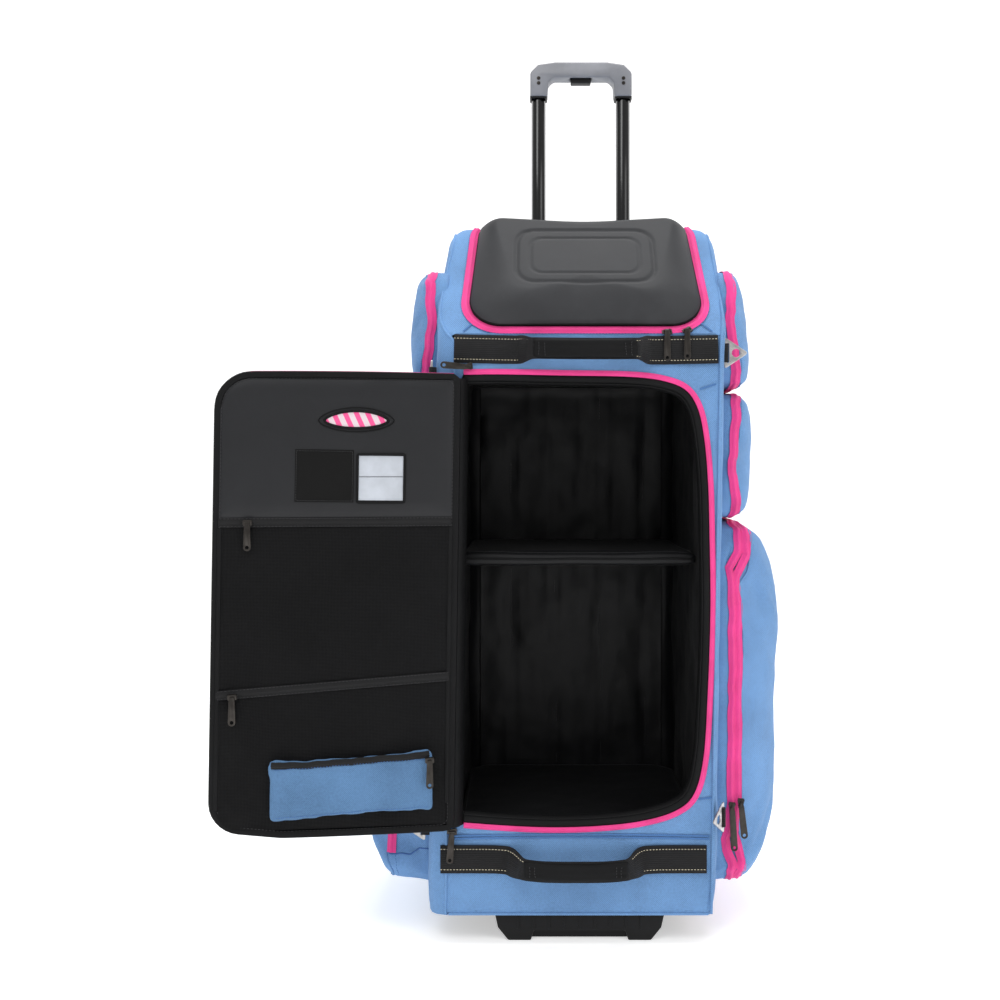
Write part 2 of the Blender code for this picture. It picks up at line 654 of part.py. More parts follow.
def make_outside_pulls():
    """Pulls of the lid zip, the main zip and the right lower pocket's zip."""
    off_strap = -GAP * 2 - STRAP_THICKNESS - PULL_STAND_OFF
    add_pull("lid_left_pull", (0.1085, at_depth(off_strap), 0.7660), None, 0.038)
    add_pull("lid_right_pull", (0.1335, at_depth(off_strap), 0.7680), None, 0.038)
    add_pull("main_lower_pull", (-0.1600, at_depth(off_strap), 0.1400), None, 0.038, math.radians(4))
    add_pull("main_upper_pull", (-0.1400, at_depth(DOOR_AXIS_DEPTH), 0.7205), None, 0.034, math.radians(95))
    pocket_front = at_depth(POCKET_FRONT_DEPTH - PULL_STAND_OFF)
    add_pull("pocket_left_pull", (0.1970, pocket_front, 0.1580), None, 0.055, math.radians(-3))
    add_pull("pocket_right_pull", (0.2085, pocket_front, 0.1630), None, 0.044, math.radians(-6))


def make_side_rings():
    """Triangular strap rings at the four front corners, each on an upright axis and turned about it."""
    half = RING_HALF_THICKNESS
    for name, (x, depth, height, turn) in RINGS.items():
        pivot = add_pivot(name + "_pivot", (x, at_depth(depth), height), math.radians(turn))
        ring(name, triangle_outline(0.0, 0.0205, 0.0285, 0.0035),
             triangle_outline(0.0042, 0.0125, 0.0205, 0.0015),
             "Y", -half, half, "steel", pivot)


def triangle_outline(base, half_height, apex, radius, steps=3):
    """Rounded triangle with an upright base and its apex along +X."""
    corners = ((base - 0.0015, -half_height), (apex, 0.0), (base - 0.0015, half_height))
    points = []
    for index, corner in enumerate(corners):
        before = Vector(corners[index - 1])
        after = Vector(corners[(index + 1) % 3])
        here = Vector(corner)
        inward = ((before - here).normalized() + (after - here).normalized()).normalized()
        angle = (before - here).angle(after - here) / 2
        centre = here + inward * radius / math.sin(angle)
        sweep = math.pi - 2 * angle
        out = math.atan2(-inward.y, -inward.x)
        start = out - sweep / 2
        for step in range(steps + 1):
            turn = start + sweep * step / steps
            points.append((centre.x + radius * math.cos(turn), centre.y + radius * math.sin(turn)))
    return points


def make_handle():
    """Telescopic handle: fixed outer tubes, sliding inner tubes, grip and push button."""
    y = at_depth(TUBE_DEPTH)
    bezel_low = CASE_TOP + GAP * 2
    bezel_high = bezel_low + BEZEL_HEIGHT
    for side_name, side in (("left", -1), ("right", 1)):
        x = HANDLE_X + side * TUBE_SPREAD
        outer = cylinder(f"{side_name}_outer_tube", OUTER_TUBE_RADIUS, BRACKET_TOP + GAP, CASE_TOP, "Z",
                         (x, y),
                         "black_tube")
        bore = cylinder(f"{side_name}_bore_cutter", OUTER_TUBE_BORE, BRACKET_TOP + 0.004, CASE_TOP + 0.01,
                        "Z",
                        (x, y), None)
        cut(outer, bore)
        cylinder(f"{side_name}_inner_tube", INNER_TUBE_RADIUS, INNER_TUBE_FOOT, GRIP_FOOT - GAP, "Z", (x, y),
                 "black_tube")
    bezel_outline = rounded_rect(HANDLE_X - BEZEL_HALF_WIDTH, y - BEZEL_HALF_DEPTH,
                                 HANDLE_X + BEZEL_HALF_WIDTH,
                                 y + BEZEL_HALF_DEPTH, (0.008,) * 4, 4)
    bezel = extruded("handle_bezel", bezel_outline, "Z", bezel_low, bezel_high, "black_plastic")
    for side in (-1, 1):
        hole = cylinder("bezel_hole_cutter", INNER_TUBE_RADIUS + 0.0005, bezel_low - 0.01, bezel_high + 0.01,
                        "Z",
                        (HANDLE_X + side * TUBE_SPREAD, y), None)
        cut(bezel, hole)
    bracket = rounded_rect(HANDLE_X - BRACKET_HALF_WIDTH, y - 0.0120, HANDLE_X + BRACKET_HALF_WIDTH,
                           y + 0.0080,
                           (0.003,) * 4, 2)
    extruded("tube_foot_bracket", bracket, "Z", CASE_BOTTOM + PANEL + GAP, BRACKET_TOP, "black_plastic")
    make_grip(y)


def make_grip(y):
    """The loop grip with a push button under its bar."""
    left = HANDLE_X - GRIP_HALF_WIDTH
    right = HANDLE_X + GRIP_HALF_WIDTH
    leg_left = HANDLE_X - GRIP_OPENING
    leg_right = HANDLE_X + GRIP_OPENING
    crown = 0.040
    outline = [(left, GRIP_FOOT), (leg_left, GRIP_FOOT), (leg_left + 0.001, GRIP_BAR_BOTTOM - 0.008),
               (leg_left + 0.009, GRIP_BAR_BOTTOM), (leg_right - 0.009, GRIP_BAR_BOTTOM),
               (leg_right - 0.001, GRIP_BAR_BOTTOM - 0.008), (leg_right, GRIP_FOOT), (right, GRIP_FOOT),
               (right, GRIP_TOP - 0.016), (right - 0.012, GRIP_TOP - 0.004), (HANDLE_X + crown, GRIP_TOP),
               (HANDLE_X - crown, GRIP_TOP), (left + 0.012, GRIP_TOP - 0.004), (left, GRIP_TOP - 0.016)]
    grip = extruded("trolley_grip", outline, "Y", y - GRIP_DEPTH / 2, y + GRIP_DEPTH / 2, "grip_plastic")
    soften(grip, 0.003, 2)

    button_bottom = GRIP_BAR_BOTTOM - BUTTON_BELOW_BAR
    button_top = GRIP_BAR_BOTTOM + BUTTON_IN_BAR
    recess = extruded("button_recess_cutter", button_outline(y, 0.001), "Z", button_bottom + 0.001,
                      button_top + 0.005, None)
    cut(grip, recess)
    button = extruded("grip_button", button_outline(y, 0.0), "Z", button_bottom, button_top, "black_plastic")
    soften(button, 0.001, 1)


def button_outline(y, grow):
    half_width = BUTTON_HALF_WIDTH + grow
    half_depth = BUTTON_HALF_DEPTH + grow
    return rounded_rect(HANDLE_X - half_width, y - half_depth, HANDLE_X + half_width, y + half_depth,
                        (0.0015 + grow / 2,) * 4, 2)


def make_running_gear():
    """Front foot bar, wheel housings, axles and wheels."""
    top = CASE_BOTTOM - GAP
    foot = [(-FOOT_HALF_WIDTH, top), (-FOOT_HALF_WIDTH + 0.004, 0.016), (-FOOT_FLAT_HALF_WIDTH, 0.0),
            (FOOT_FLAT_HALF_WIDTH, 0.0), (FOOT_HALF_WIDTH - 0.004, 0.016), (FOOT_HALF_WIDTH, top)]
    bar = extruded("front_foot_bar", foot, "Y", FOOT_FRONT, FOOT_BACK, "black_plastic")
    relief = [(-FOOT_RELIEF_HALF_WIDTH, -0.010), (FOOT_RELIEF_HALF_WIDTH, -0.010),
              (FOOT_RELIEF_HALF_WIDTH - 0.006, FOOT_RELIEF_TOP),
              (-FOOT_RELIEF_HALF_WIDTH + 0.006, FOOT_RELIEF_TOP)]
    relief_cutter = extruded("foot_relief_cutter", relief, "Y", FOOT_FRONT - 0.010,
                             FOOT_FRONT + FOOT_RELIEF_DEPTH,
                             None)
    cut(bar, relief_cutter)
    for side_name, side in (("left", -1), ("right", 1)):
        make_wheel(side_name, side * WHEEL_X)


def make_wheel(side_name, x):
    """A housing with its axle, and the wheel of tyre and hub that turns on it."""
    y = at_depth(WHEEL_DEPTH)
    low_x = x - HOUSING_HALF_WIDTH
    high_x = x + HOUSING_HALF_WIDTH
    front = at_depth(HOUSING_FRONT_DEPTH)
    back = at_depth(CASE_DEPTH)
    outline = [(front, CASE_BOTTOM), (y - 0.016, HOUSING_LIP), (y + 0.014, HOUSING_LIP),
               (back, CASE_BOTTOM + 0.004), (back, HOUSING_TOP), (front, HOUSING_TOP)]
    housing = extruded(f"{side_name}_wheel_housing", outline, "X", low_x, high_x, "black_plastic")
    slot = [(y - 0.046, 0.010), (back + 0.01, 0.010), (back + 0.01, 0.090), (y - 0.030, 0.090),
            (y - 0.046, 0.070)]
    slot_cutter = extruded(f"{side_name}_slot_cutter", slot, "X", x - HOUSING_SLOT_HALF_WIDTH,
                           x + HOUSING_SLOT_HALF_WIDTH, None)
    cut(housing, slot_cutter)
    bore = cylinder(f"{side_name}_axle_bore_cutter", AXLE_RADIUS + GAP, low_x - 0.01, high_x + 0.01, "X",
                    (y, WHEEL_RADIUS), None, 16)
    cut(housing, bore)
    cylinder(f"{side_name}_axle", AXLE_RADIUS, low_x, high_x, "X", (y, WHEEL_RADIUS), "steel", 16)

    centre = (x, y, WHEEL_RADIUS)
    half = WHEEL_WIDTH / 2
    rim = HUB_RADIUS + GAP
    tyre = [(-half + 0.002, rim), (half - 0.002, rim), (half, HUB_RADIUS + 0.003),
            (half - 0.0005, WHEEL_RADIUS - 0.004), (half - 0.004, WHEEL_RADIUS),
            (-half + 0.004, WHEEL_RADIUS), (-half + 0.0005, WHEEL_RADIUS - 0.004),
            (-half, HUB_RADIUS + 0.003)]
    turned(f"{side_name}_tyre", tyre, centre, 32, "tyre_rubber")
    bore_radius = AXLE_RADIUS + GAP
    hub = [(-half - 0.001, bore_radius), (half + 0.001, bore_radius), (half + 0.001, 0.009),
           (half - 0.004, 0.012), (half - 0.004, HUB_RADIUS - 0.003), (half - 0.002, HUB_RADIUS),
           (-half + 0.002, HUB_RADIUS), (-half + 0.004, HUB_RADIUS - 0.003), (-half + 0.004, 0.012),
           (-half - 0.001, 0.009)]
    turned(f"{side_name}_wheel_hub", hub, centre, 32, "black_plastic")


def main():
    clear_scene()
    make_materials()
    make_case()
    make_inside()
    make_lid()
    make_pockets()
    for name, measures in GRAB_HANDLES.items():
        make_grab_handle(name, *measures)
    make_door_zip()
    make_door()
    make_outside_pulls()
    make_side_rings()
    make_handle()
    make_running_gear()


main()
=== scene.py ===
"""Looks of the rolling kit bag: fabric, zips, padding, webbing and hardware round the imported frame."""
import json
import math

import bmesh
import bpy
import numpy as np
from mathutils import Matrix, Vector, noise
from mathutils.bvhtree import BVHTree


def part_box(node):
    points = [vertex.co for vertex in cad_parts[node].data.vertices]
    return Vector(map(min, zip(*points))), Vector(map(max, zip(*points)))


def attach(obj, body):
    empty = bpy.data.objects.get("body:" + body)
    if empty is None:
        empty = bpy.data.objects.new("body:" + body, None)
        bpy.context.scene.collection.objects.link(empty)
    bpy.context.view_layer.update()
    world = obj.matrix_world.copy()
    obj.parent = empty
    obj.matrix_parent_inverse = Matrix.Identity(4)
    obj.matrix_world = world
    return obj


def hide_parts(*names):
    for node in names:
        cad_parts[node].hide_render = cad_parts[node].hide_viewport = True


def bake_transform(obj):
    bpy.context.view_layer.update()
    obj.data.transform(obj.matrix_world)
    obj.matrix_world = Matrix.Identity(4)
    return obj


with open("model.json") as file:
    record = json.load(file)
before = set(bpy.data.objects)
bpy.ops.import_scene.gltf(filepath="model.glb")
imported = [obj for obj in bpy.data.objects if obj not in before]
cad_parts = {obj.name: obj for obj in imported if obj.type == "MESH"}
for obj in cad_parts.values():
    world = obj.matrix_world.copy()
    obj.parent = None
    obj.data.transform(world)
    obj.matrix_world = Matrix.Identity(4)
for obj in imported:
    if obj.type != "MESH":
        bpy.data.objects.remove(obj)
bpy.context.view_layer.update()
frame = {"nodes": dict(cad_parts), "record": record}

# Sizes in metres that the frame's boxes don't give
ZIP_WIDTH = 0.010
LEAN = 0.017
LEAN_LEVEL = 0.45
CLOTH = 0.0012
CAMERA_X = -0.0625
CAMERA_BACK = 1.37
CAMERA_HEIGHT = 0.595


BOXES = {node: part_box(node) for node in frame["nodes"]}


def low(node):
    return BOXES[node][0].copy()


def high(node):
    return BOXES[node][1].copy()


FRONT = low("front_frame").y
BACK = high("back_panel").y
CASE_BOTTOM = low("bottom_panel").z
CASE_TOP = high("back_panel").z
SLOPE_FOOT = high("front_frame").z
OPENING_LEFT = low("door_zip").x - 0.004
OPENING_BOTTOM = low("door_zip").z + ZIP_WIDTH
OPENING_TOP = high("door_zip").z - ZIP_WIDTH
JOINTS = {joint["name"]: joint for joint in frame["record"]["behaviour"]["joints"]}
NODE_BODY = {node: body for body, nodes in frame["record"]["behaviour"]["bodies"].items() for node in nodes}


# ---------------------------------------------------------------- camera, light and floor

def make_stage():
    """A white floor, soft studio lights and the camera in front of the bag."""
    scene = bpy.context.scene
    camera = bpy.data.objects.new("camera", bpy.data.cameras.new("camera"))
    scene.collection.objects.link(camera)
    camera.location = (CAMERA_X, FRONT - CAMERA_BACK, CAMERA_HEIGHT)
    camera.rotation_euler = (math.radians(90), 0, 0)
    camera.data.lens = 39.456
    camera.data.sensor_width = 36.0
    camera.data.shift_x = -0.030
    camera.data.shift_y = -0.032
    scene.camera = camera

    mesh = bpy.data.meshes.new("floor")
    half, bend, wall = 9.0, 1.5, 5.0
    section = [(-9.0, 0.0), (wall - bend, 0.0)]
    section += [(wall - bend + bend * math.sin(math.radians(turn)),
                 bend - bend * math.cos(math.radians(turn)))
                for turn in range(10, 91, 10)]
    section.append((wall, 9.0))
    corners = [(x, y, z) for y, z in section for x in (-half, half)]
    faces = [(step, step + 1, step + 3, step + 2) for step in range(0, len(corners) - 2, 2)]
    mesh.from_pydata(corners, [], faces)
    for polygon in mesh.polygons:
        polygon.use_smooth = True
    floor = bpy.data.objects.new("floor", mesh)
    scene.collection.objects.link(floor)
    material = bpy.data.materials.new("white_floor")
    material.use_nodes = True
    shader = material.node_tree.nodes["Principled BSDF"]
    shader.inputs["Base Color"].default_value = (0.86, 0.86, 0.86, 1)
    shader.inputs["Roughness"].default_value = 0.9
    shader.inputs["Specular IOR Level"].default_value = 0.0
    shader.inputs["Emission Color"].default_value = (1.0, 1.0, 1.0, 1)
    shader.inputs["Emission Strength"].default_value = 0.45
    mesh.materials.append(material)

    world = bpy.data.worlds.new("studio")
    world.use_nodes = True
    world.node_tree.nodes["Background"].inputs["Color"].default_value = (1.0, 1.0, 1.0, 1)
    world.node_tree.nodes["Background"].inputs["Strength"].default_value = 0.62
    scene.world = world
    scene.view_settings.view_transform = "Standard"
    lights = (
        ("key", (-0.9, -1.7, 2.7), 1.1, 20.0),
        ("fill", (1.9, -1.5, 1.7), 1.3, 12.0),
        ("top", (0.2, 0.1, 2.9), 1.4, 34.0),
        ("back_left", (-1.8, 1.6, 1.8), 1.2, 8.0),
        ("back_right", (1.8, 1.6, 1.8), 1.2, 8.0),
    )
    for name, place, size, power in lights:
        data = bpy.data.lights.new(name, "AREA")
        data.shape = "SQUARE"
        data.size = size
        data.energy = power
        light = bpy.data.objects.new(name, data)
        light.location = place
        aim = Vector((0.0, 0.1, 0.5)) - Vector(place)
        light.rotation_euler = aim.to_track_quat("-Z", "Y").to_euler()
        scene.collection.objects.link(light)


# ---------------------------------------------------------------- materials

class Nodes:
    """A short way to build one material's node tree."""

    def __init__(self, name, colour, roughness, metallic=0.0, **inputs):
        self.material = bpy.data.materials.new(name)
        self.material.use_nodes = True
        self.tree = self.material.node_tree
        self.shader = self.tree.nodes["Principled BSDF"]
        self.shader.inputs["Base Color"].default_value = (*colour, 1)
        self.shader.inputs["Roughness"].default_value = roughness
        self.shader.inputs["Metallic"].default_value = metallic
        for key, value in inputs.items():
            self.shader.inputs[key.replace("_", " ")].default_value = value
        self.material.diffuse_color = (*colour, 1)

    def add(self, kind, **settings):
        node = self.tree.nodes.new(kind)
        for key, value in settings.items():
            if key in ("operation", "data_type", "blend_type", "feature", "wave_type", "noise_dimensions"):
                setattr(node, key, value)
            else:
                node.inputs[key.replace("_", " ")].default_value = value
        return node

    def link(self, source, target):
        self.tree.links.new(source, target)

    def math(self, operation, first, second=None, third=None):
        node = self.tree.nodes.new("ShaderNodeMath")
        node.operation = operation
        for index, value in enumerate((first, second, third)):
            if value is None:
                continue
            if isinstance(value, (int, float)):
                node.inputs[index].default_value = value
            else:
                self.link(value, node.inputs[index])
        return node.outputs[0]

    def uv(self):
        """Surface coordinates in metres, as two values."""
        source = self.add("ShaderNodeUVMap")
        split = self.add("ShaderNodeSeparateXYZ")
        self.link(source.outputs[0], split.inputs[0])
        return split.outputs[0], split.outputs[1]

    def noise(self, vector, scale, detail=3.0, roughness=0.5):
        node = self.add("ShaderNodeTexNoise", Scale=scale, Detail=detail, Roughness=roughness)
        self.link(vector, node.inputs["Vector"])
        return node.outputs["Fac"]

    def place(self):
        return self.add("ShaderNodeTexCoord").outputs["Object"]

    def ramp(self, value, stops):
        node = self.tree.nodes.new("ShaderNodeValToRGB")
        elements = node.color_ramp.elements
        while len(elements) < len(stops):
            elements.new(0.5)
        for element, (position, colour) in zip(elements, stops):
            element.position = position
            element.color = (*colour, 1)
        self.link(value, node.inputs[0])
        return node.outputs[0]

    def colour(self, value, stops):
        self.link(self.ramp(value, stops), self.shader.inputs["Base Color"])

    def rough(self, value, least, most):
        node = self.tree.nodes.new("ShaderNodeMapRange")
        node.inputs["To Min"].default_value = least
        node.inputs["To Max"].default_value = most
        self.link(value, node.inputs["Value"])
        self.link(node.outputs[0], self.shader.inputs["Roughness"])

    def bump(self, layers):
        """Stacked bumps, each of (height, distance in metres, strength)."""
        normal = None
        for height, distance, strength in layers:
            node = self.add("ShaderNodeBump", Strength=strength, Distance=distance)
            self.link(height, node.inputs["Height"])
            if normal is not None:
                self.link(normal, node.inputs["Normal"])
            normal = node.outputs[0]
        self.link(normal, self.shader.inputs["Normal"])


def shade(colour, factor):
    return tuple(min(1.0, channel * factor) for channel in colour)


def woven(name, colour, thread, depth, roughness, sheen, wrinkle=0.0012, contrast=0.10, specular=0.25):
    """Plain weave: two sets of threads over and under each other, with uneven dye and soft creases."""
    nodes = Nodes(name, colour, roughness, Sheen_Weight=sheen, Sheen_Roughness=0.45,
                  Specular_IOR_Level=specular)
    u, v = nodes.uv()
    wave_u = nodes.math("SINE", nodes.math("MULTIPLY", u, math.tau / thread))
    wave_v = nodes.math("SINE", nodes.math("MULTIPLY", v, math.tau / thread))
    weave = nodes.math("MULTIPLY_ADD", nodes.math("MULTIPLY", wave_u, wave_v), 0.5, 0.5)
    place = nodes.place()
    dye = nodes.noise(place, 16.0, 3.0)
    slub = nodes.noise(place, 420.0, 2.0)
    creases = nodes.noise(place, 22.0, 2.5, 0.45)
    mixed = nodes.math("ADD", nodes.math("MULTIPLY", dye, 0.45), nodes.math("MULTIPLY", slub, 0.30))
    mixed = nodes.math("ADD", mixed, nodes.math("MULTIPLY", weave, 0.25))
    nodes.colour(mixed, ((0.30, shade(colour, 1 - 2 * contrast)), (0.5, colour),
                         (0.70, shade(colour, 1 + 1.5 * contrast))))
    nodes.rough(slub, roughness - 0.08, min(1.0, roughness + 0.08))
    nodes.bump(((creases, wrinkle, 0.35), (slub, 0.0002, 0.3), (weave, depth, 0.7)))
    return nodes.material


def zip_cloth(name, colour):
    """Zip tape with a coil of teeth along its middle: u runs along the zip and v across it."""
    nodes = Nodes(name, colour, 0.55, Sheen_Weight=0.05, Specular_IOR_Level=0.25)
    u, v = nodes.uv()
    pitch = 0.0016
    slant = nodes.math("ADD", u, nodes.math("MULTIPLY", nodes.math("ABSOLUTE", v), 0.6))
    teeth = nodes.math("SINE", nodes.math("MULTIPLY", slant, math.tau / pitch))
    tape = nodes.math("SINE", nodes.math("MULTIPLY", v, math.tau / 0.0011))
    middle = nodes.math("LESS_THAN", nodes.math("ABSOLUTE", v), 0.0021)
    outside = nodes.math("SUBTRACT", 1.0, middle)
    relief = nodes.math("ADD", nodes.math("MULTIPLY", teeth, middle), nodes.math("MULTIPLY", tape, outside))
    relief = nodes.math("MULTIPLY_ADD", relief, 0.5, 0.5)
    place = nodes.place()
    dye = nodes.noise(place, 30.0, 2.0)
    mixed = nodes.math("ADD", nodes.math("MULTIPLY", relief, 0.35), nodes.math("MULTIPLY", dye, 0.65))
    nodes.colour(mixed, ((0.25, shade(colour, 0.72)), (0.5, colour), (0.8, shade(colour, 1.25))))
    nodes.rough(dye, 0.45, 0.65)
    nodes.bump(((relief, 0.0004, 0.8),))
    return nodes.material


def webbing_cloth(name, colour):
    """Heavy webbing: ribs along its length and a herringbone across."""
    nodes = Nodes(name, colour, 0.7, Sheen_Weight=0.06, Specular_IOR_Level=0.25)
    u, v = nodes.uv()
    slant = nodes.math("ADD", u, nodes.math("PINGPONG", v, 0.0024))
    rows = nodes.math("SINE", nodes.math("MULTIPLY", slant, math.tau / 0.0017))
    ribs = nodes.math("SINE", nodes.math("MULTIPLY", v, math.tau / 0.0024))
    relief = nodes.math("MULTIPLY_ADD", nodes.math("ADD", rows, ribs), 0.25, 0.5)
    dye = nodes.noise(nodes.place(), 60.0, 2.0)
    mixed = nodes.math("ADD", nodes.math("MULTIPLY", relief, 0.6), nodes.math("MULTIPLY", dye, 0.4))
    nodes.colour(mixed, ((0.2, shade(colour, 0.5)), (0.5, colour), (0.8, shade(colour, 1.8))))
    nodes.rough(relief, 0.78, 0.6)
    nodes.bump(((relief, 0.0005, 0.8),))
    return nodes.material


def mesh_cloth(name, thread_colour, hole_colour):
    """Knitted mesh: rows of small round holes that show the dark lining behind."""
    nodes = Nodes(name, thread_colour, 0.6, Sheen_Weight=0.0, Specular_IOR_Level=0.12)
    u, v = nodes.uv()
    pitch = 0.0034
    column = nodes.math("SINE", nodes.math("MULTIPLY", nodes.math("ADD", u, v), math.tau / pitch))
    row = nodes.math("SINE", nodes.math("MULTIPLY", nodes.math("SUBTRACT", u, v), math.tau / pitch))
    net = nodes.math("MULTIPLY_ADD", nodes.math("MULTIPLY", column, row), 0.5, 0.5)
    dye = nodes.noise(nodes.place(), 9.0, 2.0)
    creases = nodes.noise(nodes.place(), 14.0, 3.0, 0.55)
    mixed = nodes.math("ADD", nodes.math("MULTIPLY", net, 0.75), nodes.math("MULTIPLY", dye, 0.25))
    nodes.colour(mixed, ((0.34, hole_colour), (0.5, thread_colour), (0.8, shade(thread_colour, 1.6))))
    nodes.rough(net, 0.8, 0.5)
    nodes.bump(((creases, 0.003, 0.5), (net, 0.0006, 0.8)))
    return nodes.material


def moulded(name, colour, roughness, grain=900.0, depth=0.00012, metallic=0.0, edge_wear_and_shade=0.25, coat=0.0,
            specular=0.4):
    """Moulded plastic or rubber with a fine grain; its colour is lighter on sharp outer edges as rubbed wear
    and darker in hollows as painted shade.
    """
    nodes = Nodes(name, colour, roughness, metallic, Coat_Weight=coat, Coat_Roughness=0.2,
                  Specular_IOR_Level=specular)
    place = nodes.place()
    fine = nodes.noise(place, grain, 2.0)
    broad = nodes.noise(place, 18.0, 4.0, 0.6)
    # Pointiness sets the colour: outer edges lighter as rubbed wear, hollows darker as painted shade
    edge = nodes.add("ShaderNodeNewGeometry").outputs["Pointiness"]
    edge_wear_and_hollow_shade = nodes.math("MULTIPLY", nodes.math("SUBTRACT", edge, 0.5), 4.0 * edge_wear_and_shade)
    mixed = nodes.math("ADD", nodes.math("MULTIPLY_ADD", broad, 0.5, 0.25), edge_wear_and_hollow_shade)
    nodes.colour(mixed, ((0.3, shade(colour, 0.8)), (0.5, colour), (0.9, shade(colour, 1.8))))
    nodes.rough(broad, max(0.05, roughness - 0.1), min(1.0, roughness + 0.1))
    nodes.bump(((fine, depth, 0.5),))
    return nodes.material


def plated(name, colour, roughness):
    """Plated metal with fine scratches."""
    nodes = Nodes(name, colour, roughness, 1.0)
    place = nodes.place()
    scratches = nodes.noise(place, 700.0, 2.0, 0.7)
    tarnish = nodes.noise(place, 80.0, 3.0)
    nodes.colour(tarnish, ((0.25, shade(colour, 0.6)), (0.55, colour), (0.8, shade(colour, 1.3))))
    nodes.rough(scratches, max(0.05, roughness - 0.12), roughness + 0.15)
    nodes.bump(((scratches, 0.00005, 0.4),))
    return nodes.material


def striped(name, first, second, pitch):
    """Diagonal stripes of two colours on woven cloth, for the door's badge."""
    nodes = Nodes(name, first, 0.6, Sheen_Weight=0.2)
    u, v = nodes.uv()
    slant = nodes.math("ADD", u, nodes.math("MULTIPLY", v, 0.45))
    stripe = nodes.math("SINE", nodes.math("MULTIPLY", slant, math.tau / pitch))
    nodes.colour(nodes.math("MULTIPLY_ADD", stripe, 0.5, 0.5), ((0.42, first), (0.5, second)))
    fine = nodes.noise(nodes.place(), 900.0, 2.0)
    nodes.bump(((fine, 0.0002, 0.5),))
    return nodes.material


MATERIALS = {
    "blue": (woven("blue_canvas", (0.150, 0.300, 0.555), 0.0026, 0.0006, 0.80, 0.08, 0.0012, 0.15),
             "blue_canvas"),
    "blue_pouch": (woven("blue_pouch_cloth", (0.098, 0.205, 0.375), 0.0024, 0.0006, 0.80, 0.06, 0.0012, 0.17),
                   "blue_canvas"),
    # Darker copy of the canvas: painted shade for the strips along the seams
    "blue_seam_shade": (woven("blue_canvas_shaded", (0.075, 0.185, 0.42), 0.0026, 0.0005, 0.82, 0.08),
                  "blue_canvas"),
    "lining": (woven("black_lining", (0.0056, 0.0058, 0.0068), 0.0016, 0.0001, 0.46, 0.02, 0.004, 0.2, 0.24),
               "black_lining"),
    "binding": (woven("black_binding", (0.0042, 0.0043, 0.0048), 0.0016, 0.0003, 0.55, 0.0, 0.0005, 0.25,
                      0.16),
                "black_lining"),
    "webbing": (webbing_cloth("black_webbing", (0.0060, 0.0060, 0.0068)), "black_webbing"),
    "thread": (moulded("pale_thread", (0.60, 0.52, 0.38), 0.7, 2500.0, 0.00005), "black_webbing"),
    "dark_thread": (moulded("dark_thread", (0.022, 0.022, 0.024), 0.6, 2500.0, 0.00005), "black_lining"),
    "blue_thread": (moulded("blue_thread", (0.05, 0.13, 0.34), 0.7, 2500.0, 0.00005), "blue_canvas"),
    "pink": (zip_cloth("pink_zip", (0.90, 0.060, 0.290)), "pink_zip"),
    "black_zip": (zip_cloth("black_zip", (0.0065, 0.0065, 0.0072)), "black_mesh"),
    "lid": (moulded("lid_moulding", (0.034, 0.035, 0.038), 0.60, 1400.0, 0.00018, 0.0, 0.1, 0.0, 0.25),
            "lid_moulding"),
    "pad": (woven("door_padding", (0.0095, 0.0100, 0.0120), 0.0011, 0.00008, 0.42, 0.03, 0.003, 0.12, 0.34),
            "door_padding"),
    "mesh": (mesh_cloth("black_mesh", (0.0050, 0.0050, 0.0055), (0.0005, 0.0005, 0.0006)), "black_mesh"),
    "card": (moulded("white_card", (0.46, 0.49, 0.54), 0.35, 300.0, 0.00004, 0.0, 0.0, 0.5), "white_card"),
    "label": (woven("woven_label", (0.0035, 0.0035, 0.0035), 0.0007, 0.0001, 0.5, 0.02, 0.0002, 0.2, 0.15),
              "black_lining"),
    "badge": (striped("badge_stripes", (0.85, 0.08, 0.28), (0.72, 0.60, 0.64), 0.0135), "pink_zip"),
    "plastic": (moulded("black_plastic", (0.0045, 0.0045, 0.0050), 0.45, 900.0, 0.00012, 0.0, 0.2, 0.0, 0.2),
                "black_plastic"),
    "grip": (moulded("grip_plastic", (0.185, 0.190, 0.208), 0.42, 1100.0, 0.0001, 0.0, 0.1, 0.0, 0.4),
             "grip_plastic"),
    "tube": (moulded("black_tube", (0.0010, 0.0010, 0.0013), 0.12, 500.0, 0.00002, 0.0, 0.0, 0.2, 0.36),
             "black_tube"),
    "tyre": (moulded("tyre_rubber", (0.014, 0.014, 0.015), 0.78, 700.0, 0.0002, 0.0, 0.1, 0.0, 0.3),
             "tyre_rubber"),
    "steel": (plated("bright_steel", (0.50, 0.49, 0.49), 0.30), "steel"),
    "gunmetal": (plated("gunmetal", (0.055, 0.050, 0.046), 0.34), "gunmetal"),
}


# ---------------------------------------------------------------- ways to build a piece

def face_out(obj):
    """Turns every face of a closed mesh outwards."""
    shape = bmesh.new()
    shape.from_mesh(obj.data)
    bmesh.ops.recalc_face_normals(shape, faces=shape.faces[:])
    shape.to_mesh(obj.data)
    shape.free()


def finish_piece(obj, material, body, smooth=40.0):
    """Gives a built mesh its finish and its body."""
    finish, slot_name = MATERIALS[material]
    obj.data.materials.clear()
    obj.data.materials.append(finish)
    if smooth:
        obj.data.shade_smooth()
        obj.data.set_sharp_from_angle(angle=math.radians(smooth))
    if body:
        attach(obj, body)
    return obj


def object_from(name, vertices, faces):
    mesh = bpy.data.meshes.new(name)
    mesh.from_pydata([tuple(v) for v in vertices], [], faces)
    mesh.update()
    obj = bpy.data.objects.new(name, mesh)
    bpy.context.scene.collection.objects.link(obj)
    return obj


def apply_modifiers(obj):
    """Swaps the mesh for what its modifiers make of it."""
    graph = bpy.context.evaluated_depsgraph_get()
    mesh = bpy.data.meshes.new_from_object(obj.evaluated_get(graph), preserve_all_data_layers=True,
                                           depsgraph=graph)
    obj.modifiers.clear()
    obj.data = mesh
    return obj


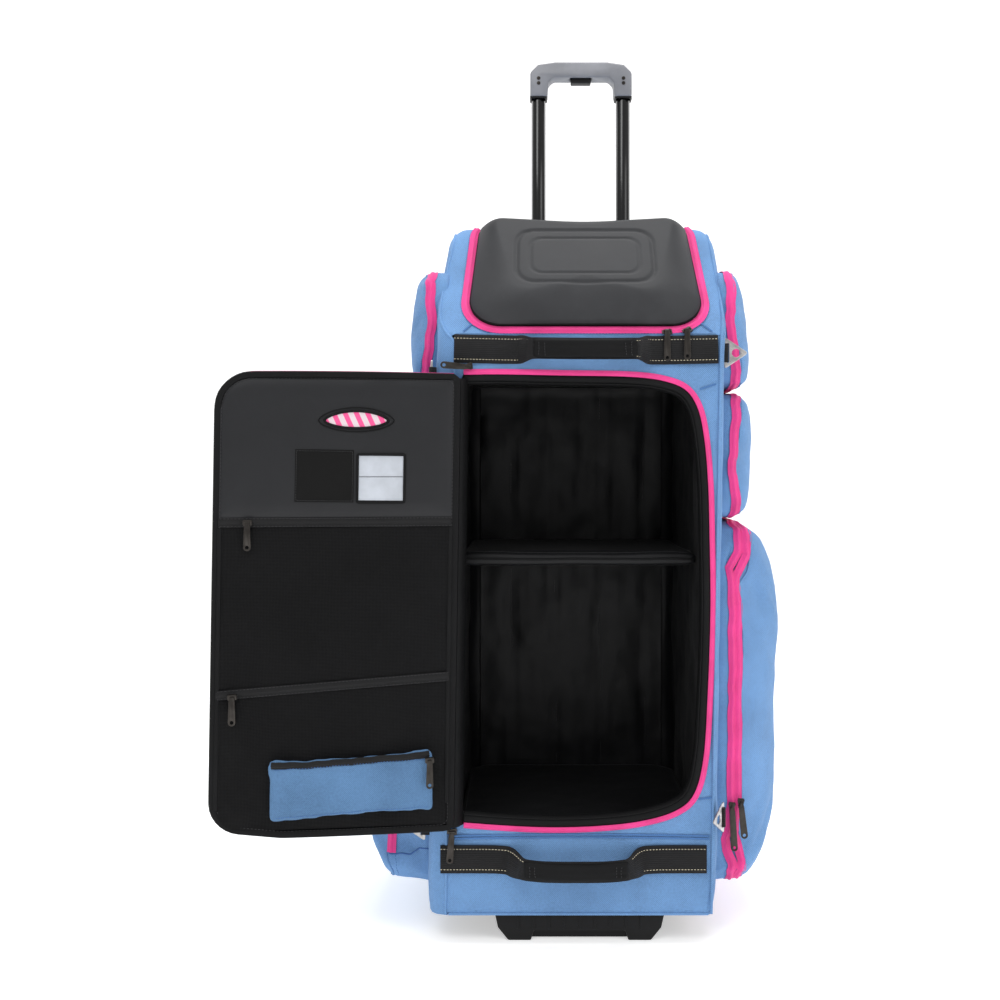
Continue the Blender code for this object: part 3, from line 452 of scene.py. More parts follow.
def box_uv(obj):
    """Surface coordinates in metres, each face laid flat along its own main direction."""
    mesh = obj.data
    layer = mesh.uv_layers[0] if mesh.uv_layers else mesh.uv_layers.new(name="cloth")
    places = np.empty(len(mesh.vertices) * 3)
    mesh.vertices.foreach_get("co", places)
    places = places.reshape(-1, 3)
    normals = np.empty(len(mesh.polygons) * 3)
    mesh.polygons.foreach_get("normal", normals)
    main = np.abs(normals.reshape(-1, 3)).argmax(1)
    sizes = np.empty(len(mesh.polygons), int)
    mesh.polygons.foreach_get("loop_total", sizes)
    owners = np.empty(len(mesh.loops), int)
    mesh.loops.foreach_get("vertex_index", owners)
    axes = np.array(((1, 2), (0, 2), (0, 1)))[np.repeat(main, sizes)]
    flat = np.take_along_axis(places[owners], axes, 1)
    layer.data.foreach_set("uv", flat.ravel())


def grid(name, rows, material, body, thickness=CLOTH, wrap=False, skip=None, smooth=50.0, levels=0,
         outward=None,
         capped=False):
    """A cloth panel over rows of points with equal numbers of points. skip leaves faces out by their centre.
    The thickness goes away from the side that outward points to."""
    count = len(rows[0])
    vertices = [Vector(point) for row in rows for point in row]
    faces = []
    for index in range(len(rows) - 1):
        for step in range(count if wrap else count - 1):
            beside = (step + 1) % count
            corners = (index * count + step, index * count + beside, (index + 1) * count + beside,
                       (index + 1) * count + step)
            if skip and skip(sum((vertices[corner] for corner in corners), Vector()) / 4):
                continue
            faces.append(corners)
    if capped:
        faces.append(tuple((len(rows) - 1) * count + step for step in range(count)))
    obj = object_from(name, vertices, faces)
    if outward is not None:
        total = sum((face.normal * face.area for face in obj.data.polygons), Vector())
        if total.dot(Vector(outward)) < 0:
            obj.data.flip_normals()
    if levels:
        modifier = obj.modifiers.new("smooth", "SUBSURF")
        modifier.levels = levels
        modifier.render_levels = levels
    if thickness:
        modifier = obj.modifiers.new("cloth", "SOLIDIFY")
        modifier.thickness = thickness
        modifier.offset = -1.0
    apply_modifiers(obj)
    clean(obj)
    box_uv(obj)
    return finish_piece(obj, material, body, smooth=smooth)


def clean(obj):
    """Drops loose points and doubled ones."""
    shape = bmesh.new()
    shape.from_mesh(obj.data)
    bmesh.ops.remove_doubles(shape, verts=shape.verts[:], dist=0.00002)
    loose = [vertex for vertex in shape.verts if not vertex.link_faces]
    bmesh.ops.delete(shape, geom=loose, context="VERTS")
    shape.to_mesh(obj.data)
    shape.free()


def resample(points, step, closed=False):
    """Evenly spaced points along a polyline."""
    points = [Vector(point) for point in points]
    if closed:
        points.append(points[0])
    lengths = [0.0]
    for before, after in zip(points, points[1:]):
        lengths.append(lengths[-1] + (after - before).length)
    total = lengths[-1]
    count = max(2, round(total / step))
    result = []
    index = 0
    for number in range(count if closed else count + 1):
        wanted = total * number / count
        while index < len(points) - 2 and lengths[index + 1] < wanted:
            index += 1
        span = lengths[index + 1] - lengths[index]
        share = (wanted - lengths[index]) / span if span > 1e-9 else 0.0
        result.append(points[index].lerp(points[index + 1], min(max(share, 0.0), 1.0)))
    return result


def smooth_path(points, step, closed=False):
    """A Catmull-Rom curve through the points, evenly sampled."""
    points = [Vector(point) for point in points]
    count = len(points)
    fine = []
    for index in range(count if closed else count - 1):
        if closed:
            a, b, c, d = (points[(index + shift) % count] for shift in (-1, 0, 1, 2))
        else:
            b, c = points[index], points[index + 1]
            a = points[index - 1] if index else b * 2 - c
            d = points[index + 2] if index + 2 < count else c * 2 - b
        for part in range(12):
            t = part / 12
            fine.append(0.5 * ((2 * b) + (c - a) * t + (2 * a - 5 * b + 4 * c - d) * t * t
                               + (3 * b - a - 3 * c + d) * t ** 3))
    if not closed:
        fine.append(points[-1])
    return resample(fine, step, closed)


def sweep(name, path, off, profile, material, body, closed=False, open_profile=False, smooth=50.0,
          widths=None):
    """A strip, cord or band: the profile of (across, off the surface) carried along the path.
    off is one direction for all, or a list with the direction off the surface at each point. widths scales
    the profile's width at each point."""
    count = len(path)
    vertices = []
    coordinates = []
    along = 0.0
    for index, point in enumerate(path):
        before = path[index - 1] if index or closed else path[0]
        after = path[(index + 1) % count] if index + 1 < count or closed else path[-1]
        tangent = (after - before).normalized()
        up = Vector(off[index] if isinstance(off, list) else off)
        up = (up - tangent * up.dot(tangent)).normalized()
        side = tangent.cross(up)
        if index:
            along += (point - path[index - 1]).length
        broad = widths[index] if widths else 1.0
        for across, rise in profile:
            vertices.append(point + side * (across * broad) + up * rise)
            coordinates.append((along, across))
    width = len(profile)
    faces = []
    for index in range(count if closed else count - 1):
        following = (index + 1) % count
        for step in range(width - 1 if open_profile else width):
            beside = (step + 1) % width
            faces.append((index * width + step, index * width + beside, following * width + beside,
                          following * width + step))
    if not closed and not open_profile:
        faces.append(tuple(range(width))[::-1])
        faces.append(tuple((count - 1) * width + step for step in range(width)))
    obj = object_from(name, vertices, faces)
    layer = obj.data.uv_layers.new(name="cloth")
    last = (count - 1) * width
    for face in obj.data.polygons:
        corners = [obj.data.loops[corner].vertex_index for corner in face.loop_indices]
        wraps = closed and min(corners) < width and max(corners) >= last
        for corner, vertex in zip(face.loop_indices, corners):
            u, v = coordinates[vertex]
            if wraps and vertex < width:
                u = along + (path[0] - path[-1]).length
            layer.data[corner].uv = (u, v)
    face_out(obj)
    return finish_piece(obj, material, body, smooth)


def round_profile(radius, sides=8):
    return [(radius * math.cos(math.tau * step / sides), radius * math.sin(math.tau * step / sides))
            for step in range(sides)]


def flat_profile(half, thickness, edge=0.0004):
    """A flat band with softened edges, its underside on the surface."""
    return [(-half, 0.0), (half, 0.0), (half, thickness - edge), (half - edge, thickness),
            (-half + edge, thickness), (-half, thickness - edge)]


def zip_profile(half, rise=0.0012):
    """Tape with a raised coil along its middle."""
    coil = 0.0022
    return [(-half, 0.0), (half, 0.0), (half, rise * 0.5), (coil + 0.0012, rise * 0.55), (coil, rise),
            (coil * 0.5, rise * 1.7), (-coil * 0.5, rise * 1.7), (-coil, rise), (-coil - 0.0012, rise * 0.55),
            (-half, rise * 0.5)]


def stitches(name, paths, material, body, length=0.0030, spacing=0.0044, width=0.0008, rise=0.0005):
    """Rows of separate stitches. Each path is (points, direction off the cloth)."""
    vertices = []
    faces = []
    for points, off in paths:
        line = resample(points, spacing)
        offs = off if isinstance(off, list) else None
        for index, (point, following) in enumerate(zip(line, line[1:])):
            tangent = (following - point).normalized()
            if offs:
                up = Vector(offs[min(len(offs) - 1, round(index * (len(offs) - 1) / max(1, len(line) - 1)))])
            else:
                up = Vector(off)
            up = (up - tangent * up.dot(tangent)).normalized()
            side = tangent.cross(up)
            first = len(vertices)
            for along, half, height in ((0.0, 0.35, 0.0), (0.25, 1.0, 1.0), (0.75, 1.0, 1.0),
                                        (1.0, 0.35, 0.0)):
                base = point + tangent * (length * along)
                for across, lift in ((-half, -0.2), (-half * 0.6, height), (half * 0.6, height),
                                     (half, -0.2)):
                    vertices.append(base + side * (across * width / 2) + up * (lift * rise))
            for part in range(3):
                for step in range(4):
                    beside = (step + 1) % 4
                    faces.append((first + part * 4 + step, first + part * 4 + beside,
                                  first + part * 4 + 4 + beside, first + part * 4 + 4 + step))
            faces.append((first, first + 1, first + 2, first + 3))
            faces.append((first + 15, first + 14, first + 13, first + 12))
    obj = object_from(name, vertices, faces)
    face_out(obj)
    return finish_piece(obj, material, body, 30.0)


def refine(node, width, material=None, segments=3, degrees=35.0):
    """A finer copy of a hard CAD part: joined faces, rounded edges and smooth round faces."""
    source = frame["nodes"][node]
    obj = bpy.data.objects.new("fine_" + node, source.data.copy())
    bpy.context.scene.collection.objects.link(obj)
    mesh = obj.data
    if mesh.has_custom_normals:
        bpy.context.view_layer.objects.active = obj
        bpy.ops.mesh.customdata_custom_splitnormals_clear()
    shape = bmesh.new()
    shape.from_mesh(mesh)
    bmesh.ops.remove_doubles(shape, verts=shape.verts[:], dist=0.00002)
    bmesh.ops.dissolve_limit(shape, angle_limit=math.radians(1.0), verts=shape.verts[:], edges=shape.edges[:])
    shape.to_mesh(mesh)
    shape.free()
    bevel = obj.modifiers.new("edges", "BEVEL")
    bevel.width = width
    bevel.segments = segments
    bevel.limit_method = "ANGLE"
    bevel.angle_limit = math.radians(degrees)
    bevel.use_clamp_overlap = True
    apply_modifiers(obj)
    box_uv(obj)
    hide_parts(node)
    body = NODE_BODY[node]
    slot = next(part["material_slot"] for part in frame["record"]["subparts"] if part["node"] == node)
    finish_piece(obj, material or slot_material(slot), body, 32.0)
    return obj


def slot_material(slot):
    return {"black_plastic": "plastic", "grip_plastic": "grip", "black_tube": "tube", "tyre_rubber": "tyre",
            "steel": "steel", "gunmetal": "gunmetal"}[slot]


def plate(name, outlines, place, half_thickness, bevel, material, body):
    """A flat metal or plastic plate from an outline and its holes, with rounded edges. place carries it from
    its own XY plane to the world."""
    curve = bpy.data.curves.new(name, "CURVE")
    curve.dimensions = "2D"
    curve.fill_mode = "BOTH"
    curve.extrude = half_thickness - bevel
    curve.bevel_depth = bevel
    curve.bevel_resolution = 2
    curve.offset = -bevel
    for outline in outlines:
        spline = curve.splines.new("POLY")
        spline.points.add(len(outline) - 1)
        for point, (x, y) in zip(spline.points, outline):
            point.co = (x, y, 0.0, 1.0)
        spline.use_cyclic_u = True
    holder = bpy.data.objects.new(name + "_curve", curve)
    bpy.context.scene.collection.objects.link(holder)
    graph = bpy.context.evaluated_depsgraph_get()
    mesh = bpy.data.meshes.new_from_object(holder.evaluated_get(graph))
    bpy.data.objects.remove(holder)
    mesh.transform(place)
    obj = bpy.data.objects.new(name, mesh)
    bpy.context.scene.collection.objects.link(obj)
    clean(obj)
    box_uv(obj)
    return finish_piece(obj, material, body, 35.0)


def circle(centre, radius, steps=24):
    return [(centre[0] + radius * math.cos(math.tau * step / steps),
             centre[1] + radius * math.sin(math.tau * step / steps)) for step in range(steps)]


def arc(centre, radius, start, end, steps=8):
    angles = (math.radians(start + (end - start) * step / steps) for step in range(steps + 1))
    return [(centre[0] + radius * math.cos(angle), centre[1] + radius * math.sin(angle)) for angle in angles]


def rounded_rect(left, bottom, right, top, radii, steps=6):
    """Outline from the lower left corner, anticlockwise. One radius, or lower left, lower right, upper right,
    upper left."""
    if not isinstance(radii, tuple):
        radii = (radii,) * 4
    points = arc((left + radii[0], bottom + radii[0]), radii[0], 180, 270, steps)
    points += arc((right - radii[1], bottom + radii[1]), radii[1], 270, 360, steps)
    points += arc((right - radii[2], top - radii[2]), radii[2], 0, 90, steps)
    points += arc((left + radii[3], top - radii[3]), radii[3], 90, 180, steps)
    return points


def ease(share):
    share = min(max(share, 0.0), 1.0)
    return share * share * (3 - 2 * share)


def crease(point, size, seed=0.0):
    """Smooth wrinkle height from -1 to 1 at a place."""
    return noise.fractal(Vector(point) / size + Vector((seed, seed * 1.7, -seed)), 0.9, 2.0, 3)


def puff(obj, pressure=4.0, voxel=0.005, cap=0.008, frames=20, pin=None):
    """Inflates a closed mesh with a cloth simulation, holds every point near its start, and smooths it.
    pin(point) is True where the cloth is sewn down."""
    clean(obj)
    remesh = obj.modifiers.new("remesh", "REMESH")
    remesh.mode = "VOXEL"
    remesh.voxel_size = voxel
    apply_modifiers(obj)
    start = [vertex.co.copy() for vertex in obj.data.vertices]
    if pin:
        group = obj.vertex_groups.new(name="sewn")
        group.add([index for index, place in enumerate(start) if pin(place)], 1.0, "REPLACE")
    cloth = obj.modifiers.new("cloth", "CLOTH")
    cloth.settings.use_pressure = True
    cloth.settings.uniform_pressure_force = pressure
    cloth.settings.effector_weights.gravity = 0.0
    cloth.settings.quality = 4
    cloth.collision_settings.use_collision = False
    if pin:
        cloth.settings.vertex_group_mass = "sewn"
    scene = bpy.context.scene
    for number in range(1, frames + 1):
        scene.frame_set(number)
    apply_modifiers(obj)
    scene.frame_set(1)
    for vertex, place in zip(obj.data.vertices, start):
        move = vertex.co - place
        if move.length > cap:
            vertex.co = place + move * (cap / move.length)
    smooth = obj.modifiers.new("smooth", "SMOOTH")
    smooth.factor = 0.5
    smooth.iterations = 4
    apply_modifiers(obj)
    obj.vertex_groups.clear()
    return obj


def finer(obj, levels=1):
    modifier = obj.modifiers.new("finer", "SUBSURF")
    modifier.levels = levels
    modifier.render_levels = levels
    return apply_modifiers(obj)


def displaced(obj, height, size, seed=0.0, along=None):
    """Moves each point along its normal by soft creases of that height."""
    normals = [vertex.normal.copy() for vertex in obj.data.vertices]
    for vertex, normal in zip(obj.data.vertices, normals):
        amount = height(vertex.co) if callable(height) else height
        place = vertex.co if along is None else Vector(a * b for a, b in zip(vertex.co, along))
        vertex.co += normal * (amount * crease(place, size, seed))
    obj.data.update()
    return obj


def tree_of(obj):
    mesh = obj.data
    return BVHTree.FromPolygons([vertex.co.copy() for vertex in mesh.vertices],
                                [tuple(face.vertices) for face in mesh.polygons])


def laid_on(tree, points, lift=0.0003, steady=2):
    """The points moved onto a surface, with the directions off it."""
    places = []
    offs = []
    for point in points:
        place, normal = tree.find_nearest(Vector(point))[:2]
        places.append(place)
        offs.append(normal)
    for _ in range(steady):
        offs = [sum((offs[min(max(index + shift, 0), len(offs) - 1)] for shift in (-1, 0, 1)),
                    Vector()).normalized()
                for index in range(len(offs))]
    return [place + off * lift for place, off in zip(places, offs)], offs


# ---------------------------------------------------------------- the fabric case

SIDE_PROFILE = {
    -1: ((0.000, 0.1625), (0.004, 0.1760), (0.010, 0.1825), (0.020, 0.1856), (0.040, 0.1860), (0.100, 0.1800),
         (0.250, 0.1800), (0.335, 0.1760), (0.353, 0.1680)),
    1: ((0.000, 0.1690), (0.003, 0.1745), (0.008, 0.1770), (0.018, 0.1786), (0.040, 0.1790), (0.100, 0.1780),
        (0.250, 0.1780), (0.335, 0.1750), (0.353, 0.1680)),
}
SEAM = {-1: 0.1615, 1: 0.1712}
DEPTH = BACK - FRONT
SLOPE_RUN = 0.110
SLOPE_RISE = CASE_TOP - SLOPE_FOOT
SLOPE = Vector((0.0, SLOPE_RUN, SLOPE_RISE)).normalized()
SLOPE_NORMAL = Vector((1.0, 0.0, 0.0)).cross(SLOPE)
CREST_BLEND = 0.012
SHOULDER_FRONT = 0.008
SHOULDER_BACK = 0.030
UP = Vector((0.0, 0.0, 1.0))
OUT_FRONT = Vector((0.0, -1.0, 0.0))


def leaned(x, y, z):
    """The soft case leans a little to its right towards the top."""
    return Vector((x + LEAN * (z - LEAN_LEVEL), y, z))


def side_x(side, depth, height=LEAN_LEVEL):
    depths, reaches = zip(*SIDE_PROFILE[side])
    reach = float(np.interp(depth, depths, reaches))
    reach -= 0.004 * ease((0.075 - height) / 0.045)
    return side * reach


def hood_height(depth):
    """Height of the top over the slope and the crown, with a soft crest between them."""
    pitch = SLOPE_RISE / SLOPE_RUN
    start = SLOPE_RUN - CREST_BLEND
    if depth <= start:
        return SLOPE_FOOT + pitch * depth
    if depth >= SLOPE_RUN + CREST_BLEND:
        return CASE_TOP
    share = (depth - start) / (2 * CREST_BLEND)
    return SLOPE_FOOT + pitch * start + pitch * 2 * CREST_BLEND * (share - share * share / 2)


def shoulder(depth):
    share = min(max(depth / SLOPE_RUN, 0.0), 1.0)
    return SHOULDER_FRONT + (SHOULDER_BACK - SHOULDER_FRONT) * share ** 1.4


def on_slope(x, along, off=0.0):
    """A place on the slope: across, up the slope and off it."""
    return Vector((x, FRONT, SLOPE_FOOT)) + SLOPE * along + SLOPE_NORMAL * off


def on_hood(x, along, off=0.0):
    """The same place let down onto the hood where its shoulder rounds off."""
    place = on_slope(x, along, off)
    depth = max(place.y - FRONT, 0.0)
    bend = shoulder(depth)
    side = 1 if x > 0 else -1
    across = abs(x - LEAN * (place.z - LEAN_LEVEL)) - abs(side_x(side, depth)) + bend
    over = min(max(across, 0.0), bend * 0.96)
    place.z -= bend - math.sqrt(bend * bend - over * over)
    return place


def spread(first, last, count):
    return [first + (last - first) * step / (count - 1) for step in range(count)]


def opening_outline():
    """The main zip's line round the mouth, from the hinge side at the top to the hinge side below."""
    return (
        (OPENING_LEFT + 0.012, OPENING_TOP + 0.0105), (-0.100, OPENING_TOP + 0.0110),
        (-0.019, OPENING_TOP + 0.0095),
        (0.060, OPENING_TOP + 0.0080), (0.104, OPENING_TOP + 0.0030), (0.135, OPENING_TOP - 0.0090),
        (0.1525, OPENING_TOP - 0.0330), (0.1615, OPENING_TOP - 0.0700), (0.1670, OPENING_TOP - 0.1300),
        (0.1690, 0.505), (0.1700, 0.415), (0.1665, 0.310), (0.1610, 0.230), (0.1480, 0.1830),
        (0.1220, 0.1600), (0.0760, 0.1465), (0.0200, 0.1405), (-0.0360, 0.1390), (-0.0900, 0.1410),
        (OPENING_LEFT + 0.012, 0.1450),
    )


def mouth_path(inset, depth, step=0.006):
    """The mouth's line, moved inwards and back. The hinge side stays open."""
    line = smooth_path([(x, 0.0, z) for x, z in opening_outline()], step)
    points = []
    for index, point in enumerate(line):
        before = line[max(index - 1, 0)]
        after = line[min(index + 1, len(line) - 1)]
        tangent = (after - before).normalized()
        inward = Vector((tangent.z, 0.0, -tangent.x))
        if inward.dot(Vector((0.0, 0.0, 0.43)) - Vector((point.x, 0.0, point.z))) < 0:
            inward.negate()
        moved = point + inward * inset
        points.append(Vector((moved.x, FRONT + depth, moved.z)))
    return points


def loop_by_angle(points, centre, count):
    """The closed outline's crossing with rays at even steps of an angle that suits a tall shape."""
    result = []
    closed = points + points[:1]
    for step in range(count):
        angle = math.tau * step / count
        ray = Vector((math.cos(angle), math.sin(angle) * 1.75)).normalized()
        best = None
        for (ax, az), (bx, bz) in zip(closed, closed[1:]):
            ex, ez = bx - ax, bz - az
            denominator = ray.x * ez - ray.y * ex
            if abs(denominator) < 1e-12:
                continue
            far = ((ax - centre[0]) * ez - (az - centre[1]) * ex) / denominator
            share = ((ax - centre[0]) * ray.y - (az - centre[1]) * ray.x) / denominator
            if far > 0 and -1e-6 <= share <= 1 + 1e-6 and (best is None or far < best):
                best = far
        result.append((centre[0] + ray.x * best, centre[1] + ray.y * best))
    return result


def mouth_loop(inset):
    """The whole mouth as a closed outline, hinge side included, as (x, z)."""
    line = [(point.x, point.z) for point in mouth_path(inset, 0.0)]
    left_top = (OPENING_LEFT + 0.004 + LEAN * (OPENING_TOP - LEAN_LEVEL), line[0][1])
    left_bottom = (OPENING_LEFT + 0.004 + LEAN * (OPENING_BOTTOM - LEAN_LEVEL), line[-1][1])
    return [left_top] + line + [left_bottom]


def seam_x(side, height):
    return side * SEAM[side] + LEAN * (height - LEAN_LEVEL)


def make_front():
    """Front panel round the mouth, its zip and the black rim inside it."""
    count = 220
    centre = (0.004, 0.43)
    inner = loop_by_angle(mouth_loop(0.004), centre, count)
    bottom = CASE_BOTTOM + 0.003
    top = SLOPE_FOOT + 0.001
    border = [(seam_x(-1, top), top), (seam_x(-1, bottom), bottom + 0.004),
              (seam_x(-1, bottom) + 0.006, bottom)]
    border += [(seam_x(1, bottom) - 0.008, bottom), (seam_x(1, bottom), bottom + 0.006),
               (seam_x(1, top), top)]
    outer = loop_by_angle(border, centre, count)
    rows = []
    for share in spread(0.0, 1.0, 15):
        row = []
        for (ax, az), (bx, bz) in zip(inner, outer):
            x = ax + (bx - ax) * share
            z = az + (bz - az) * share
            swell = 0.0013 * (1 + crease((x, 0.0, z), 0.055, 3.0)) * math.sin(math.pi * share) ** 0.5
            row.append((x, FRONT + 0.0002 + swell, z))
        rows.append(row)
    panel = grid("front_panel", rows, "blue", "bag", outward=OUT_FRONT, wrap=True)
    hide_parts("front_frame")

    pink = sweep("door_zip_band", mouth_path(0.0036, -0.0002), OUT_FRONT, zip_profile(0.0034, 0.0012), "pink",
                 "bag")
    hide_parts("door_zip")
    rows = [mouth_path(inset, depth) for inset, depth in
            ((0.0078, -0.0004), (0.0090, -0.0012), (0.0125, -0.0010), (0.0165, 0.0010), (0.0190, 0.0040),
             (0.0195, 0.0090))]
    grid("mouth_rim", rows, "binding", "bag", thickness=0.0010, outward=OUT_FRONT)
    bead = mouth_path(0.0172, 0.0002)
    sweep("mouth_rim_seam", bead, OUT_FRONT, round_profile(0.0011, 6), "binding", "bag")

    wall = loop_by_angle([(-0.158, 0.735), (-0.158, 0.139), (0.158, 0.139), (0.158, 0.735)], centre, count)
    ledge = loop_by_angle(mouth_loop(0.0185), centre, count)
    rows = []
    for share in spread(0.0, 1.0, 5):
        row = [(ax + (bx - ax) * share, FRONT + 0.0085 + 0.002 * share, az + (bz - az) * share)
               for (ax, az), (bx, bz) in zip(ledge, wall)]
        rows.append(row)
    grid("front_lining", rows, "lining", "bag", thickness=0.0008, wrap=True)


def make_sides():
    """Side panels with soft creases, swelling past the seam to the front."""
    for side, name in ((-1, "left"), (1, "right")):
        depths = [station[0] for station in SIDE_PROFILE[side][:4]]
        depths += spread(0.028, 0.335, 44) + [0.344, 0.351]
        rows = []
        for share in spread(0.0, 1.0, 120):
            row = []
            for depth in depths:
                foot = CASE_BOTTOM + 0.002
                head = hood_height(max(depth, 0.0015)) - shoulder(depth)
                z = foot + (head - foot) * share
                fade = min(1.0, depth / 0.02, (DEPTH - depth) / 0.02)
                swell = 0.0022 * crease((0.0, depth * 1.3, z), 0.075, 5.0 + side) * max(fade, 0.0)
                x = side_x(side, depth, z) + side * swell
                row.append(leaned(x, FRONT + depth, z))
            rows.append(row)
        panel = grid(name + "_side_cloth", rows, "blue", "bag", outward=(side, 0, 0))
        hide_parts(name + "_side_panel")


def hood_rows(lift, depths):
    rows = []
    for depth in depths:
        height = hood_height(depth) + lift
        bend = shoulder(depth)
        right = side_x(1, depth)
        left = side_x(-1, depth)
        row = [(right, height - bend)]
        row += arc((right - bend, height - bend), bend, 0, 90, 8)
        row += [(x, height) for x in spread(right - bend, left + bend, 62)[1:-1]]
        row += arc((left + bend, height - bend), bend, 90, 180, 8)
        row.append((left, height - bend))
        placed = []
        for x, z in row:
            sag = 0.0016 * (crease((x, depth, z), 0.06, 9.0) - 0.8) if z > height - 0.002 else 0.0
            placed.append(leaned(x, FRONT + depth, z + sag))
        rows.append(placed)
    return rows


def make_hood():
    """Top of the case: the slope behind the lid, the crest and the crown, open under the lid."""
    centre = (low("top_lid").x + high("top_lid").x) / 2

    def under_lid(point):
        along = (point - Vector((0.0, FRONT, SLOPE_FOOT))).dot(SLOPE)
        return abs(point.x - centre) < 0.112 and 0.040 < along < 0.160 and point.y < FRONT + SLOPE_RUN

    depths = spread(0.0012, SLOPE_RUN - CREST_BLEND, 30) + spread(SLOPE_RUN - CREST_BLEND + 0.003, 0.135, 10)
    depths += spread(0.142, DEPTH - 0.004, 30)
    hood = grid("hood_cloth", hood_rows(0.0, depths), "blue", "bag", skip=under_lid, outward=UP)
    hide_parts("top_hood")


def make_back_and_base():
    """Back panel and the base cloth, both taut over the frame inside."""
    rows = []
    top = CASE_TOP - 0.0005
    for z in spread(CASE_BOTTOM + 0.002, top, 90):
        row = []
        for share in spread(-1.0, 1.0, 44):
            side = -1 if share < 0 else 1
            reach = abs(side_x(side, 0.353))
            narrow = 0.0
            if z > CASE_TOP - SHOULDER_BACK:
                rise = (z - CASE_TOP + SHOULDER_BACK) / SHOULDER_BACK
                narrow = SHOULDER_BACK * (1 - math.sqrt(max(0.0, 1 - rise * rise)))
            x = share * (reach + 0.0025 - narrow)
            edge = max(0.0, abs(share) - 0.94) / 0.06
            hollow = 0.0016 * (1 + crease((x, 0.0, z), 0.09, 2.0))
            row.append(leaned(x, BACK - hollow - 0.005 * edge * edge, z))
        rows.append(row)

    def wheel_well(point):
        return abs(point.x) > 0.109 and point.z < high("left_wheel_housing").z

    back = grid("back_cloth", rows, "blue", "bag", skip=wheel_well, outward=(0, 1, 0))
    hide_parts("back_panel")

    rows = []
    for depth in spread(0.001, DEPTH - 0.002, 40):
        row = []
        for share in spread(-1.0, 1.0, 40):
            side = -1 if share < 0 else 1
            x = share * abs(side_x(side, depth, CASE_BOTTOM))
            sag = 0.0015 * (1 + crease((x, depth, 0.0), 0.06, 4.0))
            row.append(leaned(x, FRONT + depth, CASE_BOTTOM + 0.0005 + sag))
        rows.append(row)

    def wheel_gap(point):
        return abs(point.x) > 0.109 and point.y > low("left_wheel_housing").y

    base = grid("base_cloth", rows, "binding", "bag", skip=wheel_gap, outward=(0, 0, -1))
    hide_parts("bottom_panel")


def edge_line(side):
    """The front seam from the base up to the slope and along the shoulder to the back."""
    points = [leaned(side * SEAM[side], FRONT - 0.0004, z) for z in spread(CASE_BOTTOM + 0.004,
                                                                           SLOPE_FOOT - 0.012, 24)]
    for depth in (0.004, 0.02, 0.045, 0.07, 0.095, 0.115, 0.14, 0.2, 0.27, 0.345):
        bend = shoulder(depth)
        x = side_x(side, depth) - side * bend * 0.29
        points.append(leaned(x, FRONT + depth, hood_height(depth) - bend * 0.29))
    return smooth_path(points, 0.006)


def make_piping():
    """Piped and stitched seams of the case, with strips of painted shade in darker blue along the stitched
    seams.
    """
    for side, name in ((-1, "left"), (1, "right")):
        line = edge_line(side)
        sweep(name + "_edge_piping", line, Vector((side, -1, 1)), round_profile(0.0017), "blue", "bag")
        back = [leaned(side * (abs(side_x(side, 0.353)) + 0.001), BACK - 0.004, z)
                for z in spread(high("left_wheel_housing").z + 0.002, CASE_TOP - SHOULDER_BACK, 40)]
        sweep(name + "_back_piping", back, Vector((side, 1, 0)), round_profile(0.0017), "blue", "bag")
    low_left = seam_x(-1, CASE_BOTTOM) + 0.004
    low_right = seam_x(1, CASE_BOTTOM) - 0.004
    hem = [Vector((x, FRONT - 0.0004, CASE_BOTTOM + 0.0035)) for x in spread(low_left, low_right, 50)]
    sweep("base_piping", hem, Vector((0, -1, -1)), round_profile(0.0016), "blue", "bag")
    lines = []
    seam_height = 0.1335
    run = [Vector((x, FRONT - 0.0002, seam_height + 0.0035 * math.cos(x * 7.0)))
           for x in spread(seam_x(-1, 0.13) + 0.003, seam_x(1, 0.13) - 0.004, 60)]
    lines.append((run, OUT_FRONT))
    lines.append(([point + Vector((0, 0, -0.0035)) for point in run], OUT_FRONT))
    for start, end in (((0.1500, 0.6935), (0.1700, 0.7000)), ((0.1480, 0.1810), (0.1645, 0.1830))):
        first = Vector((start[0], FRONT - 0.0002, start[1]))
        last = Vector((end[0], FRONT - 0.0002, end[1]))
        lines.append(([first.lerp(last, share) for share in spread(0, 1, 8)], OUT_FRONT))
    for side in (-1, 1):
        first = on_slope(0.008 + side * 0.136, 0.026, 0.0006)
        last = on_slope(side * 0.156 + 0.010, 0.004, 0.0006)
        lines.append(([first.lerp(last, share) for share in spread(0, 1, 10)], SLOPE_NORMAL))
    stitches("case_seams", lines, "blue_thread", "bag", length=0.0042, spacing=0.0046, width=0.0008,
             rise=0.0003)
    # Darker blue strips along each stitched seam: painted shade in the seam's crease
    for number, (points, off) in enumerate(lines):
        sweep(f"case_seam_shade_strip_{number}", points, off, flat_profile(0.0011, 0.0004, 0.0002), "blue_seam_shade",
              "bag")


# ---------------------------------------------------------------- inside

